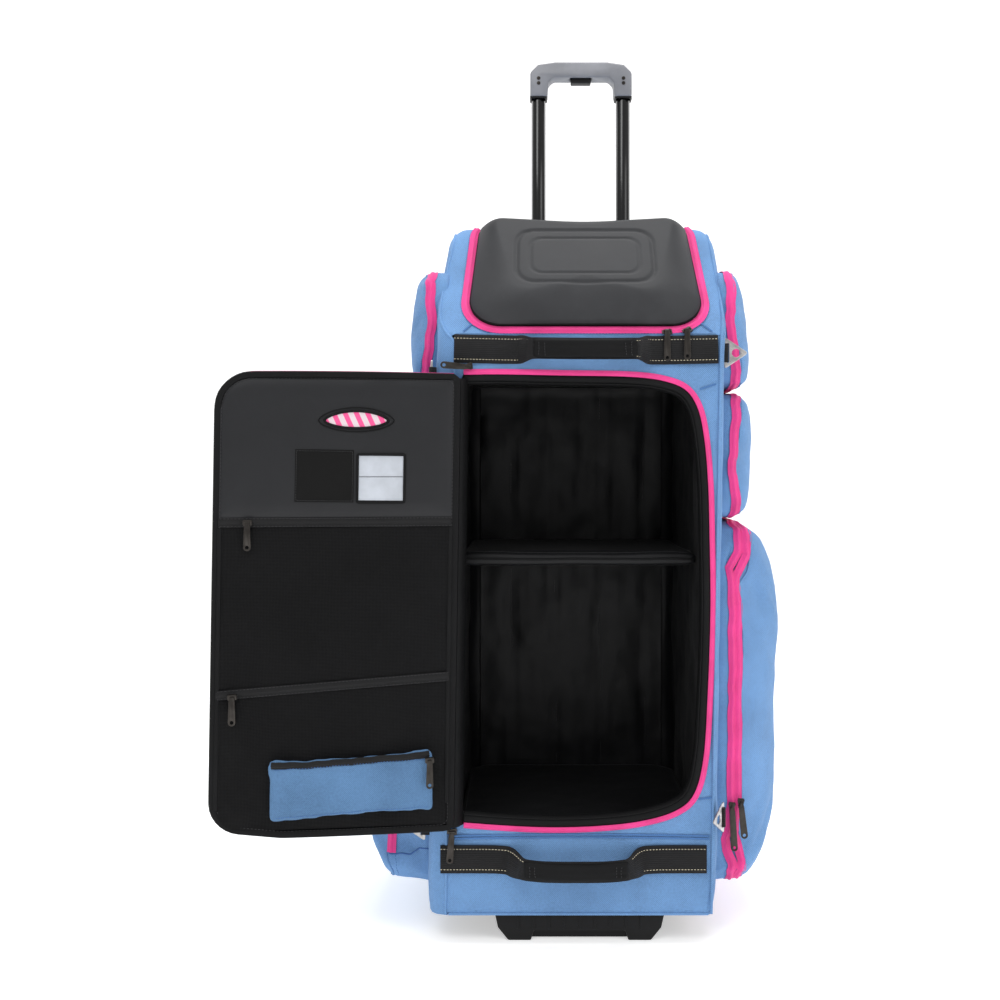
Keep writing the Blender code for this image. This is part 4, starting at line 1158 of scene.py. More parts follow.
def make_lining():
    """Black lining of the main compartment: three soft walls and a ceiling, with sewn lines on its back."""
    inside = abs(low("main_lining").x) - 0.0052
    back = high("main_lining").y - 0.0082
    bend = 0.022
    plan = [(-inside, y) for y in spread(FRONT + 0.0095, back - bend, 26)]
    plan += arc((-inside + bend, back - bend), bend, 180, 90, 6)[1:]
    plan += [(x, back) for x in spread(-inside + bend, inside - bend, 40)[1:-1]]
    plan += arc((inside - bend, back - bend), bend, 90, 0, 6)
    plan += [(inside, y) for y in spread(back - bend, FRONT + 0.0095, 26)[1:]]
    bottom = low("floor_pad").z - 0.0030
    top = high("main_lining").z
    rows = []
    for z in spread(bottom, top, 96):
        row = []
        for x, y in plan:
            room = min(1.0, (y - FRONT) / 0.05)
            soft = 0.0036 * (1 + crease((x * 1.4, y, z * 0.9), 0.085, 12.0)) * room
            tall = 0.0022 * (1 + crease((x * 2.6, y * 2.6, z * 0.35), 0.05, 15.0)) * room
            along = max(0.0, (z - top + 0.03) / 0.03)
            inward = soft + tall + 0.016 * along * along * ease((y - FRONT - 0.1) / 0.2)
            sewn = min((abs(x - line) for line in (-0.090, -0.024, 0.044, 0.112)), default=1.0)
            if y > back - 0.001:
                inward -= 0.0022 * max(0.0, 1 - sewn / 0.006)
            toward = Vector((-x if abs(x) > inside - bend else 0.0, min(0.0, back - bend - y), 0.0))
            toward = toward.normalized() if toward.length > 1e-6 else Vector((0.0, -1.0, 0.0))
            if y >= back - 1e-6:
                toward = Vector((0.0, -1.0, 0.0))
            row.append(Vector((x, y, z)) + toward * max(inward, 0.0))
        rows.append(row)
    lining = grid("main_lining_cloth", rows, "lining", "bag", thickness=0.0009)
    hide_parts("main_lining")
    lines = []
    for line in (-0.090, -0.024, 0.044, 0.112):
        run = [Vector((line + 0.002 * math.sin(z * 9), back - 0.0035, z))
               for z in spread(bottom + 0.01, top - 0.03, 60)]
        tree = tree_of(lining)
        points, offs = laid_on(tree, run, 0.0004)
        lines.append((points, OUT_FRONT))
    stitches("lining_seams", lines, "dark_thread", "bag", length=0.0035, spacing=0.0042)

    ceiling = []
    for depth in spread(0.0095, back - FRONT - 0.002, 24):
        ceiling.append([Vector((x, FRONT + depth, top - 0.0015 - 0.012 * ease(depth / 0.3) - 0.002
                                * (1 + crease((x, depth, 0), 0.07, 21.0))))
                                for x in spread(-inside + 0.001, inside - 0.001, 30)])
    roof = grid("ceiling_cloth", ceiling, "lining", "bag", thickness=0.0009, outward=(0, 0, -1))
    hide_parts("top_pocket_bulkhead")
    floor = [[Vector((x, y, bottom)) for x in spread(-inside - 0.001, inside + 0.001, 24)]
             for y in spread(FRONT + 0.0095, back + 0.001, 24)]
    base = grid("lining_floor_cloth", floor, "lining", "bag", thickness=0.0009, outward=UP)


def slab(name, outline, z_low, z_high, shrink=0.0):
    """A closed plain slab over an outline in plan, to be inflated."""
    count = len(outline)
    vertices = [(x, y, z_low + shrink) for x, y in outline] + [(x, y, z_high - shrink) for x, y in outline]
    faces = [tuple(range(count))[::-1], tuple(range(count, 2 * count))]
    faces += [(index, (index + 1) % count, count + (index + 1) % count, count + index)
              for index in range(count)]
    return object_from(name, vertices, faces)


def make_pads():
    """Padded floor and divider of the main compartment."""
    for node, name, material, border, cap, fill in (
            ("floor_pad", "floor_pad_cloth", "lining", 0.030, 0.0022, 0.8),
            ("divider_shelf", "divider_cloth", "lining", 0.012, 0.0030, 0.8)):
        lowest, highest = BOXES[node]
        inset = 0.0028
        outline = rounded_rect(lowest.x + inset, lowest.y + inset, highest.x - inset, highest.y - inset,
                               (0.008, 0.008, border, border))
        pad = slab(name, outline, lowest.z, highest.z, 0.0024)
        puff(pad, 3.0, 0.005, cap)
        displaced(pad, 0.0007, 0.05, 6.0)
        finer(pad)
        box_uv(pad)
        finish_piece(pad, material, "bag", smooth=60.0)
        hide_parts(node)
        tree = tree_of(pad)
        ring_points = [Vector((x, y, highest.z + 0.004)) for x, y in
                       rounded_rect(lowest.x + 0.010, lowest.y + 0.010, highest.x - 0.010, highest.y - 0.010,
                                    (0.006, 0.006, border, border))]
        line, offs = laid_on(tree, resample(ring_points, 0.008, True), 0.0002)
        stitches(name + "_seam", [(line + line[:1], UP)], "dark_thread", "bag")
        middle = (lowest.z + highest.z) / 2
        edge = [Vector((x, lowest.y - 0.01, middle)) for x in spread(lowest.x + 0.008, highest.x - 0.008, 60)]
        line, offs = laid_on(tree, edge, 0.0)
        sweep(name + "_piping", line, OUT_FRONT, round_profile(0.0014, 6), "binding", "bag")


# ---------------------------------------------------------------- moulded lid and top pocket

LID_LOW = low("top_lid")
LID_HIGH = high("top_lid")
LID_X = (LID_LOW.x + LID_HIGH.x) / 2
LID_FOOT_HALF = (LID_HIGH.x - LID_LOW.x) / 2
LID_HEAD_HALF = LID_FOOT_HALF - 0.012
LID_START = 0.0118
LID_END = 0.190
LID_LIFT = 0.0022
LID_HEIGHT = 0.030


def lid_outline(grow, steps=14):
    """The lid's outline on the slope, narrower at its head, grown outwards by a margin."""
    foot = LID_FOOT_HALF + grow
    head = LID_HEAD_HALF + grow
    start = LID_START - grow
    end = LID_END + grow
    points = rounded_rect(-foot, start, foot, end, (0.044 + grow, 0.044 + grow, 0.017 + grow, 0.017 + grow),
                          steps)
    taper = (foot - head) / (end - start)
    return [(LID_X + x * (1.0 - taper * (y - start) / foot), y) for x, y in points]


def lid_zip_line(grow, lift):
    """From one head corner down round the foot to the other head corner."""
    outline = lid_outline(grow)
    corner = 15
    half = corner // 2
    line = outline[-half:] + outline[:-corner - half]
    return resample([on_hood(x, along, lift) for x, along in line], 0.006)


def groove(distance, width):
    """Depth from 0 to 1 of a rounded groove at that distance from its line."""
    return max(0.0, 1.0 - (distance / width) ** 2) ** 2


def frame_distance(x, y, half_x, half_y, radius):
    """Distance from the line of a rounded rectangle about the origin."""
    dx = abs(x) - half_x + radius
    dy = abs(y) - half_y + radius
    outside = math.hypot(max(dx, 0.0), max(dy, 0.0)) + min(max(dx, dy), 0.0)
    return abs(outside - radius)


def make_lid():
    """Moulded dome with a plain pressed panel, its zip, its rim and its fabric hinge."""
    middle = (LID_START + LID_END) / 2
    outline = resample([Vector((x, along, 0)) for x, along in lid_outline(0.0)], 0.0032, True)
    rows = []
    for scale in [1.0 - 0.86 * (step / 58) for step in range(59)] + [0.09, 0.04]:
        row = []
        for edge in outline:
            x = LID_X + (edge.x - LID_X) * scale
            along = middle + (edge.y - middle) * scale
            moved = math.hypot(edge.x - x, edge.y - along)
            head = min(max((edge.y - LID_START) / (LID_END - LID_START), 0.0), 1.0)
            reach = 0.062 - 0.036 * head
            share = min(moved / reach, 1.0)
            rise = 0.16 * min(1.0, share / 0.05) + 0.84 * (1.0 - (1.0 - share) ** 1.75)
            height = LID_LIFT + (LID_HEIGHT - 0.0010) * rise
            across = x - LID_X
            up = along - middle - 0.006
            pressed = max(groove(frame_distance(across, up, 0.088, 0.046, 0.024), 0.0042),
                          0.7 * groove(frame_distance(across, up, 0.070, 0.031, 0.016), 0.0034))
            height -= 0.0017 * pressed * ease(moved / 0.02)
            height -= 0.0009 * ease(0.5 - frame_distance(across, up, 0.088, 0.046, 0.024) / 0.02) \
                if abs(across) < 0.088 and abs(up) < 0.046 else 0.0
            row.append(on_hood(x, along, height))
        rows.append(row)
    lid = grid("lid_dome", rows, "lid", "lid", thickness=0.0030, outward=SLOPE_NORMAL, smooth=70.0, wrap=True,
               capped=True)
    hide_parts("top_lid")
    edge_line_points = [on_hood(x, along, LID_LIFT + 0.0012) for x, along in lid_outline(-0.0012)]
    sweep("lid_edge_binding", resample(edge_line_points, 0.006, True), SLOPE_NORMAL, round_profile(0.0017, 8),
          "binding", "lid", closed=True)

    band = lid_zip_line(0.0057, 0.0004)
    pink = sweep("lid_zip_band", band, SLOPE_NORMAL, zip_profile(0.0056, 0.0015), "pink", "bag")
    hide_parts("lid_zip")
    stitches("lid_zip_stitching", [(lid_zip_line(0.0115, 0.0003), SLOPE_NORMAL)], "blue_thread", "bag",
             length=0.0028, spacing=0.0040)
    rows = []
    for grow, off in ((0.003, 0.0006), (-0.004, 0.0008), (-0.014, 0.0004), (-0.022, -0.0012),
                      (-0.030, -0.0060),
                      (-0.032, -0.0200)):
        rows.append([on_hood(x, along, off) for x, along in lid_outline(grow)])
    grid("top_pocket_rim", rows, "binding", "bag", thickness=0.0008, outward=SLOPE_NORMAL, wrap=True)

    rows = []
    for x in spread(LID_X - 0.098, LID_X + 0.098, 40):
        row = [on_slope(x, LID_END - 0.004, LID_LIFT + 0.0052),
               on_slope(x, LID_END + 0.0010, LID_LIFT + 0.0040),
               on_slope(x, LID_END + 0.0042, LID_LIFT + 0.0010), on_slope(x, LID_END + 0.0075, -0.0012),
               Vector((x, FRONT + SLOPE_RUN + 0.0065, CASE_TOP - 0.0002)),
               Vector((x, FRONT + SLOPE_RUN + 0.0170, CASE_TOP + 0.0004))]
        rows.append(row)
    flap = grid("lid_hinge_flap", rows, "binding", None, thickness=0.0007, outward=UP)
    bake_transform(flap)


# ---------------------------------------------------------------- the open door

HINGE = Vector(JOINTS["door_hinge"]["pos_m"])
DOOR_TURN = math.radians(-JOINTS["door_hinge"]["range_deg"][1])
DOOR_THICK = 0.006
DOOR_LOW = low("door_panel").z
DOOR_HIGH = high("door_panel").z
DOOR_FREE = 0.2935
DOOR_START = -0.004
FACE = DOOR_THICK + 0.0003
INTO_DOOR = Vector((-math.sin(DOOR_TURN), math.cos(DOOR_TURN), 0.0))
ALONG_DOOR = Vector((math.cos(DOOR_TURN), math.sin(DOOR_TURN), 0.0))


def on_door(along, height, off=FACE):
    """A place on the door: along from its hinge, height, and off its middle towards its inner face."""
    place = Vector((HINGE.x, HINGE.y, 0.0)) + ALONG_DOOR * along + INTO_DOOR * off
    return Vector((place.x + LEAN * 0.9 * (height - LEAN_LEVEL), place.y, height))


def door_outline(inset=0.0, steps=7):
    """The door's outline as (along, height), a little bowed along its edges."""
    points = rounded_rect(DOOR_START + inset, DOOR_LOW + inset, DOOR_FREE - inset, DOOR_HIGH - inset,
                          (0.006, 0.036 - inset, 0.044 - inset, 0.006), steps)
    points = [(p.x, p.y) for p in resample([Vector((x, z, 0)) for x, z in points], 0.007, True)]
    result = []
    for along, height in points:
        share = along / DOOR_FREE
        bow = 0.0035 * math.sin(math.pi * min(max(share, 0.0), 1.0))
        mid = (height - (DOOR_LOW + DOOR_HIGH) / 2) / ((DOOR_HIGH - DOOR_LOW) / 2)
        low_corner = 0.010 * max(0.0, -mid) * max(0.0, share - 0.7) / 0.3
        result.append((along, height + bow * mid * 0.4 + low_corner))
    return result


def door_grid(name, left, right, bottom, top, swell, material, columns=50, rows_count=50, thickness=0.0008,
              base=FACE,
              seed=1.0, wrinkle=0.0, edge=0.012, power=0.6):
    """A cloth panel on the door's inner face. bottom and top may be functions of the place along the door."""
    rows = []
    for share in spread(0.0, 1.0, rows_count):
        row = []
        for across in spread(left, right, columns):
            z_low = bottom(across) if callable(bottom) else bottom
            z_high = top(across) if callable(top) else top
            z = z_low + (z_high - z_low) * share
            margin = min(across - left, right - across, z - z_low, z_high - z)
            full = min(1.0, max(margin, 0.0) / edge) ** power
            off = base + full * (swell + wrinkle * crease((across, z * 0.7, 0.0), 0.06, seed))
            row.append(on_door(across, z, max(off, base)))
        rows.append(row)
    return grid(name, rows, material, "door", thickness=thickness, outward=INTO_DOOR)


def door_run(left, right, height, off, step=0.006):
    points = []
    for along in spread(left, right, max(2, round(abs(right - left) / step))):
        z = height(along) if callable(height) else height
        points.append(on_door(along, z, off))
    return points


def seam_height(along):
    """The slanted seam between the two mesh pockets."""
    return 0.3378 - 0.0180 * (along - 0.009) / 0.285


def make_door():
    """The padded door: blue outside, black inside, with pockets, label, card and pouch on its inner face."""
    outline = door_outline(0.004)
    count = len(outline)
    vertices = [on_door(along, z, -DOOR_THICK + 0.0022) for along, z in outline]
    vertices += [on_door(along, z, DOOR_THICK - 0.0022) for along, z in outline]
    faces = [tuple(range(count)), tuple(range(count, 2 * count))[::-1]]
    faces += [(index, count + index, count + (index + 1) % count, (index + 1) % count)
              for index in range(count)]
    pad = object_from("door_pad", vertices, faces)
    shape = bmesh.new()
    shape.from_mesh(pad.data)
    bmesh.ops.recalc_face_normals(shape, faces=shape.faces[:])
    shape.to_mesh(pad.data)
    shape.free()
    puff(pad, 2.5, 0.006, 0.0018)
    box_uv(pad)
    finish_piece(pad, "lining", "door", smooth=60.0)
    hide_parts("door_panel")

    edge = [on_door(along, z, 0.0) for along, z in door_outline(0.0045)]
    rim_profile = [(-0.0035, -0.0062), (0.0, -0.0070), (0.0036, -0.0058), (0.0048, 0.0), (0.0036, 0.0062),
                   (0.0, 0.0072), (-0.0034, 0.0072), (-0.0044, 0.0052)]
    sweep("door_binding", edge, INTO_DOOR, rim_profile, "binding", "door", closed=True)
    inner_edge = [on_door(along, z, 0.0072) for along, z in door_outline(0.0092)]
    stitches("door_binding_stitching", [(inner_edge + inner_edge[:1], INTO_DOOR)], "dark_thread", "door")
    outer = door_outline(0.0024)
    free_side = [(along, z) for along, z in outer if along > 0.004]
    start = max(range(len(free_side)), key=lambda index: (free_side[index][1] < 0.3, -free_side[index][0]))
    free_side = free_side[start:] + free_side[:start]
    tape = [on_door(along, z, -0.0052) for along, z in free_side]
    sweep("door_edge_zip", resample(tape, 0.006), INTO_DOOR, zip_profile(0.0034, 0.0012), "pink", "door")

    rows = []
    for share in spread(0.0, 1.0, 60):
        row = []
        for across in spread(0.0, 1.0, 36):
            along = DOOR_START + 0.004 + (DOOR_FREE - DOOR_START - 0.009) * across
            z = DOOR_LOW + 0.005 + (DOOR_HIGH - DOOR_LOW - 0.010) * share
            for level, direction, corner in ((DOOR_LOW + 0.005, 1, 0.034), (DOOR_HIGH - 0.005, -1, 0.042)):
                reach_z = corner - (z - level) * direction
                reach_x = along - (DOOR_FREE - 0.005 - corner)
                if reach_z > 0 and reach_x > 0 and math.hypot(reach_x, reach_z) > corner:
                    scale = corner / math.hypot(reach_x, reach_z)
                    along = DOOR_FREE - 0.005 - corner + reach_x * scale
                    z = level + (corner - reach_z * scale) * direction
            margin = min(across, 1 - across, share, 1 - share)
            swell = 0.0022 * min(1.0, margin / 0.06) + 0.0010 * crease((along, z, 0), 0.07, 31.0)
            row.append(on_door(along, z, -DOOR_THICK - 0.0004 - max(swell, 0.0)))
        rows.append(row)
    outside = grid("door_outer_cloth", rows, "blue", "door", thickness=0.0008, outward=-INTO_DOOR)

    make_door_top()
    make_mesh_pockets()
    make_pouch()


def make_door_top():
    """Smooth padded panel at the door's head, with a badge, a plain label and a card holder."""
    top = DOOR_HIGH - 0.0088
    free = DOOR_FREE - 0.0078

    def head(x):
        corner = 0.037
        reach = x - (free - corner)
        return top - (corner - math.sqrt(max(0.0, corner * corner - reach * reach)) if reach > 0 else 0.0)

    pad = door_grid("door_head_pad", 0.004, free, 0.5345, head, 0.0026, "pad", 60, 40, seed=8.0,
                    wrinkle=0.0006,
                    edge=0.016)
    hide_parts("door_upper_pad")
    tree = tree_of(pad)

    centre = Vector((0.1232, 0.6540))

    def lozenge(half_wide, half_tall):
        points = []
        for step in range(48):
            angle = math.tau * step / 48
            x = math.cos(angle) * half_wide
            z = math.copysign(abs(math.sin(angle)) ** 1.25, math.sin(angle)) * half_tall
            points.append((centre.x + x, centre.y + z - 0.0012 * math.cos(angle) ** 2))
        return points

    rows = []
    for scale in (1.0, 0.9, 0.7, 0.5, 0.3, 0.15):
        rows.append([on_door(x, z, FACE + 0.0034 + 0.0006 * (1 - scale ** 4))
                     for x, z in lozenge(0.0365 * scale, 0.0092 * scale)])
    badge = grid("door_badge", rows, "badge", "door", thickness=0.0005, outward=INTO_DOOR, wrap=True,
                 capped=True)
    for name, wide, tall, radius in (("door_badge_rim", 0.0385, 0.0105, 0.0016),
                                     ("door_badge_edge", 0.0455, 0.0148, 0.0007)):
        line = [on_door(x, z, FACE + 0.0034) for x, z in lozenge(wide, tall)]
        sweep(name, line, INTO_DOOR, round_profile(radius), "binding", "door", closed=True)

    def patch(name, left, right, bottom, height, material, tilt, lift):
        rows = []
        for share in spread(0, 1, 8):
            rows.append([on_door(x, bottom + height * share + tilt * (x - left), FACE + lift)
                         for x in spread(left, right, 12)])
        return grid(name, rows, material, "door", thickness=0.0005, outward=INTO_DOOR)

    label = patch("blank_label", 0.1255, 0.1960, 0.5530, 0.0640, "label", 0.012, 0.0034)
    border = [(0.1270, 0.5548), (0.1945, 0.5556), (0.1945, 0.6160), (0.1270, 0.6152), (0.1270, 0.5548)]
    stitches("label_stitching", [([on_door(x, z, FACE + 0.0037) for x, z in border], INTO_DOOR)],
             "dark_thread",
             "door", length=0.0022, spacing=0.0032)
    lowest, highest = BOXES["name_card"]
    card = patch("name_card_sheet", 0.0655, 0.1195, lowest.z + 0.0015, highest.z - lowest.z - 0.003, "card",
                 0.012, 0.0034)
    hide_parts("name_card")
    frame_line = [on_door(x, z, FACE + 0.0036) for x, z in
                  rounded_rect(0.0640, lowest.z - 0.0005, 0.1210, highest.z + 0.0005, 0.0015, 2)]
    sweep("card_frame", frame_line, INTO_DOOR, flat_profile(0.0016, 0.0012), "binding", "door", closed=True)
    middle = (lowest.z + highest.z) / 2 + 0.002
    sweep("card_line", door_run(0.0660, 0.1190, middle, FACE + 0.0039), INTO_DOOR,
          flat_profile(0.0003, 0.0001, 0.00005), "dark_thread", "door")


def make_mesh_pockets():
    """Two mesh pockets, each under a black zip."""
    right = DOOR_FREE - 0.0085
    upper = door_grid("upper_mesh_cloth", 0.006, right, lambda x: seam_height(x) + 0.0065, 0.5245, 0.0036,
                      "mesh", 70, 64,
                      thickness=0.0006, seed=14.0, wrinkle=0.0046, edge=0.024)
    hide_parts("upper_mesh_pocket")

    def foot(x):
        corner = 0.028
        reach = x - (right - corner)
        return DOOR_LOW + 0.0095 + (corner - math.sqrt(max(0.0, corner * corner - reach * reach))
                                    if reach > 0 else 0.0)

    lower = door_grid("lower_mesh_cloth", 0.006, right, foot, lambda x: seam_height(x) - 0.0050, 0.0036,
                      "mesh", 70, 60,
                      thickness=0.0006, seed=17.0, wrinkle=0.0044, edge=0.024)
    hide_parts("lower_mesh_pocket")
    for name, height in (("upper_pocket_zip", 0.5290), ("lower_pocket_zip", seam_height)):
        line = door_run(0.006, right + 0.001, height, FACE + 0.0002)
        sweep(name, line, INTO_DOOR, [(-0.0058, 0.0), (0.0058, 0.0), (0.0054, 0.0012), (0.0022, 0.0016),
                                      (0.0013, 0.0026), (-0.0013, 0.0026), (-0.0022, 0.0016),
                                      (-0.0054, 0.0012)],
              "black_zip", "door")
        rows = []
        for shift in (-0.0046, 0.0046):
            rows.append(([point + Vector((0, 0, shift)) + INTO_DOOR * 0.0013 for point in line], INTO_DOOR))
        stitches(name + "_stitching", rows, "dark_thread", "door")
    sides = []
    for along in (0.0065, right - 0.0004):
        sides.append([on_door(along, z, FACE + 0.0006) for z in spread(DOOR_LOW + 0.036, 0.522, 60)])
    for number, line in enumerate(sides):
        sweep(f"mesh_side_tape_{number}", line, INTO_DOOR, flat_profile(0.0026, 0.0010), "binding", "door")


def pouch_place(across, up, off):
    """A place on the small pouch, which hangs a few degrees off level."""
    tilt = math.radians(2.6)
    along = 0.1225 + across * math.cos(tilt) + up * math.sin(tilt)
    return on_door(along, 0.2085 - across * math.sin(tilt) + up * math.cos(tilt), off)


def make_pouch():
    """Small zipped pouch hanging on the lower mesh pocket."""
    base = FACE + 0.0028 + 0.0004
    half_wide = 0.1010
    half_tall = 0.0392
    outline = rounded_rect(-half_wide, -half_tall, half_wide, half_tall, 0.005, 3)
    outline = [(p.x, p.y) for p in resample([Vector((x, z, 0)) for x, z in outline], 0.008, True)]
    count = len(outline)
    vertices = [pouch_place(x, z, base + 0.0012) for x, z in outline]
    vertices += [pouch_place(x, z, base + 0.0060) for x, z in outline]
    faces = [tuple(range(count)), tuple(range(count, 2 * count))[::-1]]
    faces += [(index, count + index, count + (index + 1) % count, (index + 1) % count)
              for index in range(count)]
    pouch = object_from("pouch_cloth", vertices, faces)
    face_out(pouch)
    puff(pouch, 4.0, 0.0027, 0.0040)
    even = pouch.modifiers.new("even", "SMOOTH")
    even.factor = 0.5
    even.iterations = 8
    apply_modifiers(pouch)
    displaced(pouch, 0.0007, 0.035, 23.0)
    finer(pouch)
    box_uv(pouch)
    finish_piece(pouch, "blue_pouch", "door", smooth=60.0)
    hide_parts("pencil_pouch")
    tree = tree_of(pouch)

    def pouch_line(left, right, up):
        return laid_on(tree, [pouch_place(x, up, base + 0.02) for x in spread(left, right, 44)], 0.0007)

    line, offs = pouch_line(-half_wide + 0.002, half_wide - 0.002, half_tall - 0.0035)
    sweep("pouch_zip", line, INTO_DOOR, [(-0.0042, 0.0), (0.0042, 0.0), (0.0040, 0.0010), (0.0016, 0.0013),
                                         (0.0010, 0.0021), (-0.0010, 0.0021), (-0.0016, 0.0013),
                                         (-0.0040, 0.0010)],
          "black_zip", "door")
    first, offs = pouch_line(-half_wide + 0.006, half_wide - 0.006, half_tall - 0.0105)
    second, offs = pouch_line(-half_wide + 0.006, half_wide - 0.006, -half_tall + 0.0035)
    stitches("pouch_stitching", [(first, INTO_DOOR), (second, INTO_DOOR)], "blue_thread", "door",
             length=0.0026,
             spacing=0.0036, width=0.0006)


def make_gusset():
    """Pleated cloth hinge between the mouth's left edge and the door."""
    rows = []
    bottom = DOOR_LOW + 0.004
    top = DOOR_HIGH - 0.006
    for z in spread(bottom, top, 90):
        lean = LEAN * 0.7 * (z - LEAN_LEVEL)
        start = Vector((HINGE.x + 0.0125 + lean, FRONT + 0.0040, z))
        end = on_door(0.0055, z, FACE - 0.0005)
        pleat = 0.0016 * crease((0.0, 0.0, z), 0.045, 41.0)
        bulge = Vector((HINGE.x + 0.0120 + lean + pleat, HINGE.y - 0.0052 + pleat, z))
        row = []
        for share in spread(0.0, 1.0, 15):
            a = start.lerp(bulge, share)
            b = bulge.lerp(end, share)
            row.append(a.lerp(b, share))
        rows.append(row)
    strip = grid("door_hinge_cloth", rows, "binding", None, thickness=0.0008)
    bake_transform(strip)


# ---------------------------------------------------------------- side pockets

# Share of the depth reached, and how far the outline moves in at the front, at both ends and at the back
BOXY = ((0.0, 0.0, 0.0, 0.0), (0.25, 0.0, 0.0, 0.0), (0.50, 0.0, 0.0, 0.0), (0.70, 0.002, 0.001, 0.002),
        (0.82, 0.007, 0.005, 0.007), (0.90, 0.016, 0.010, 0.016))
BULGED = ((0.0, 0.0, 0.0, 0.0), (0.28, 0.0, 0.0, 0.0), (0.55, 0.0, 0.0, 0.0), (0.70, 0.014, 0.014, 0.004),
          (0.81, 0.034, 0.036, 0.012), (0.90, 0.062, 0.078, 0.034))
POCKET_FORM = {
    ("upper", "left"): {"zip": 0.62, "rows": 1, "taper": 0.10, "belly": 0.0, "stations": BOXY,
                        "zip_foot": None},
    ("upper", "right"): {"zip": 0.58, "rows": 1, "taper": 0.34, "belly": 0.0, "stations": BOXY,
                         "zip_foot": None},
    ("middle", "left"): {"zip": 0.64, "rows": 1, "taper": 0.0, "belly": 0.0, "stations": BOXY,
                         "zip_foot": None},
    ("middle", "right"): {"zip": 0.64, "rows": 1, "taper": 0.0, "belly": 0.0, "stations": BOXY,
                          "zip_foot": None},
    ("lower", "left"): {"zip": 0.80, "rows": 1, "taper": 0.0, "belly": 0.004, "stations": BOXY,
                        "zip_foot": 0.105},
    ("lower", "right"): {"zip": 0.44, "rows": 2, "taper": 0.0, "belly": 0.005, "stations": BULGED,
                         "zip_foot": None},
}


def pocket_reach(name, side, height, share):
    """How far a pocket stands off the side panel at a height, for a share of its full depth."""
    lowest, highest = BOXES[f"{side}_{name}_pocket"]
    full = highest.x - lowest.x
    rise = min(max((height - lowest.z) / (highest.z - lowest.z), 0.0), 1.0)
    reach = full * share * (1.0 - POCKET_FORM[name, side]["taper"] * ease(rise))
    if (name, side) == ("lower", "left"):
        reach *= 0.93 + 0.07 * ease(rise / 0.10)
    return reach


def pocket_point(name, side, y, z, share):
    lowest, highest = BOXES[f"{side}_{name}_pocket"]
    sign = -1 if side == "left" else 1
    foot = lowest.x if sign > 0 else highest.x
    return leaned(foot + sign * pocket_reach(name, side, z, share), y, z)


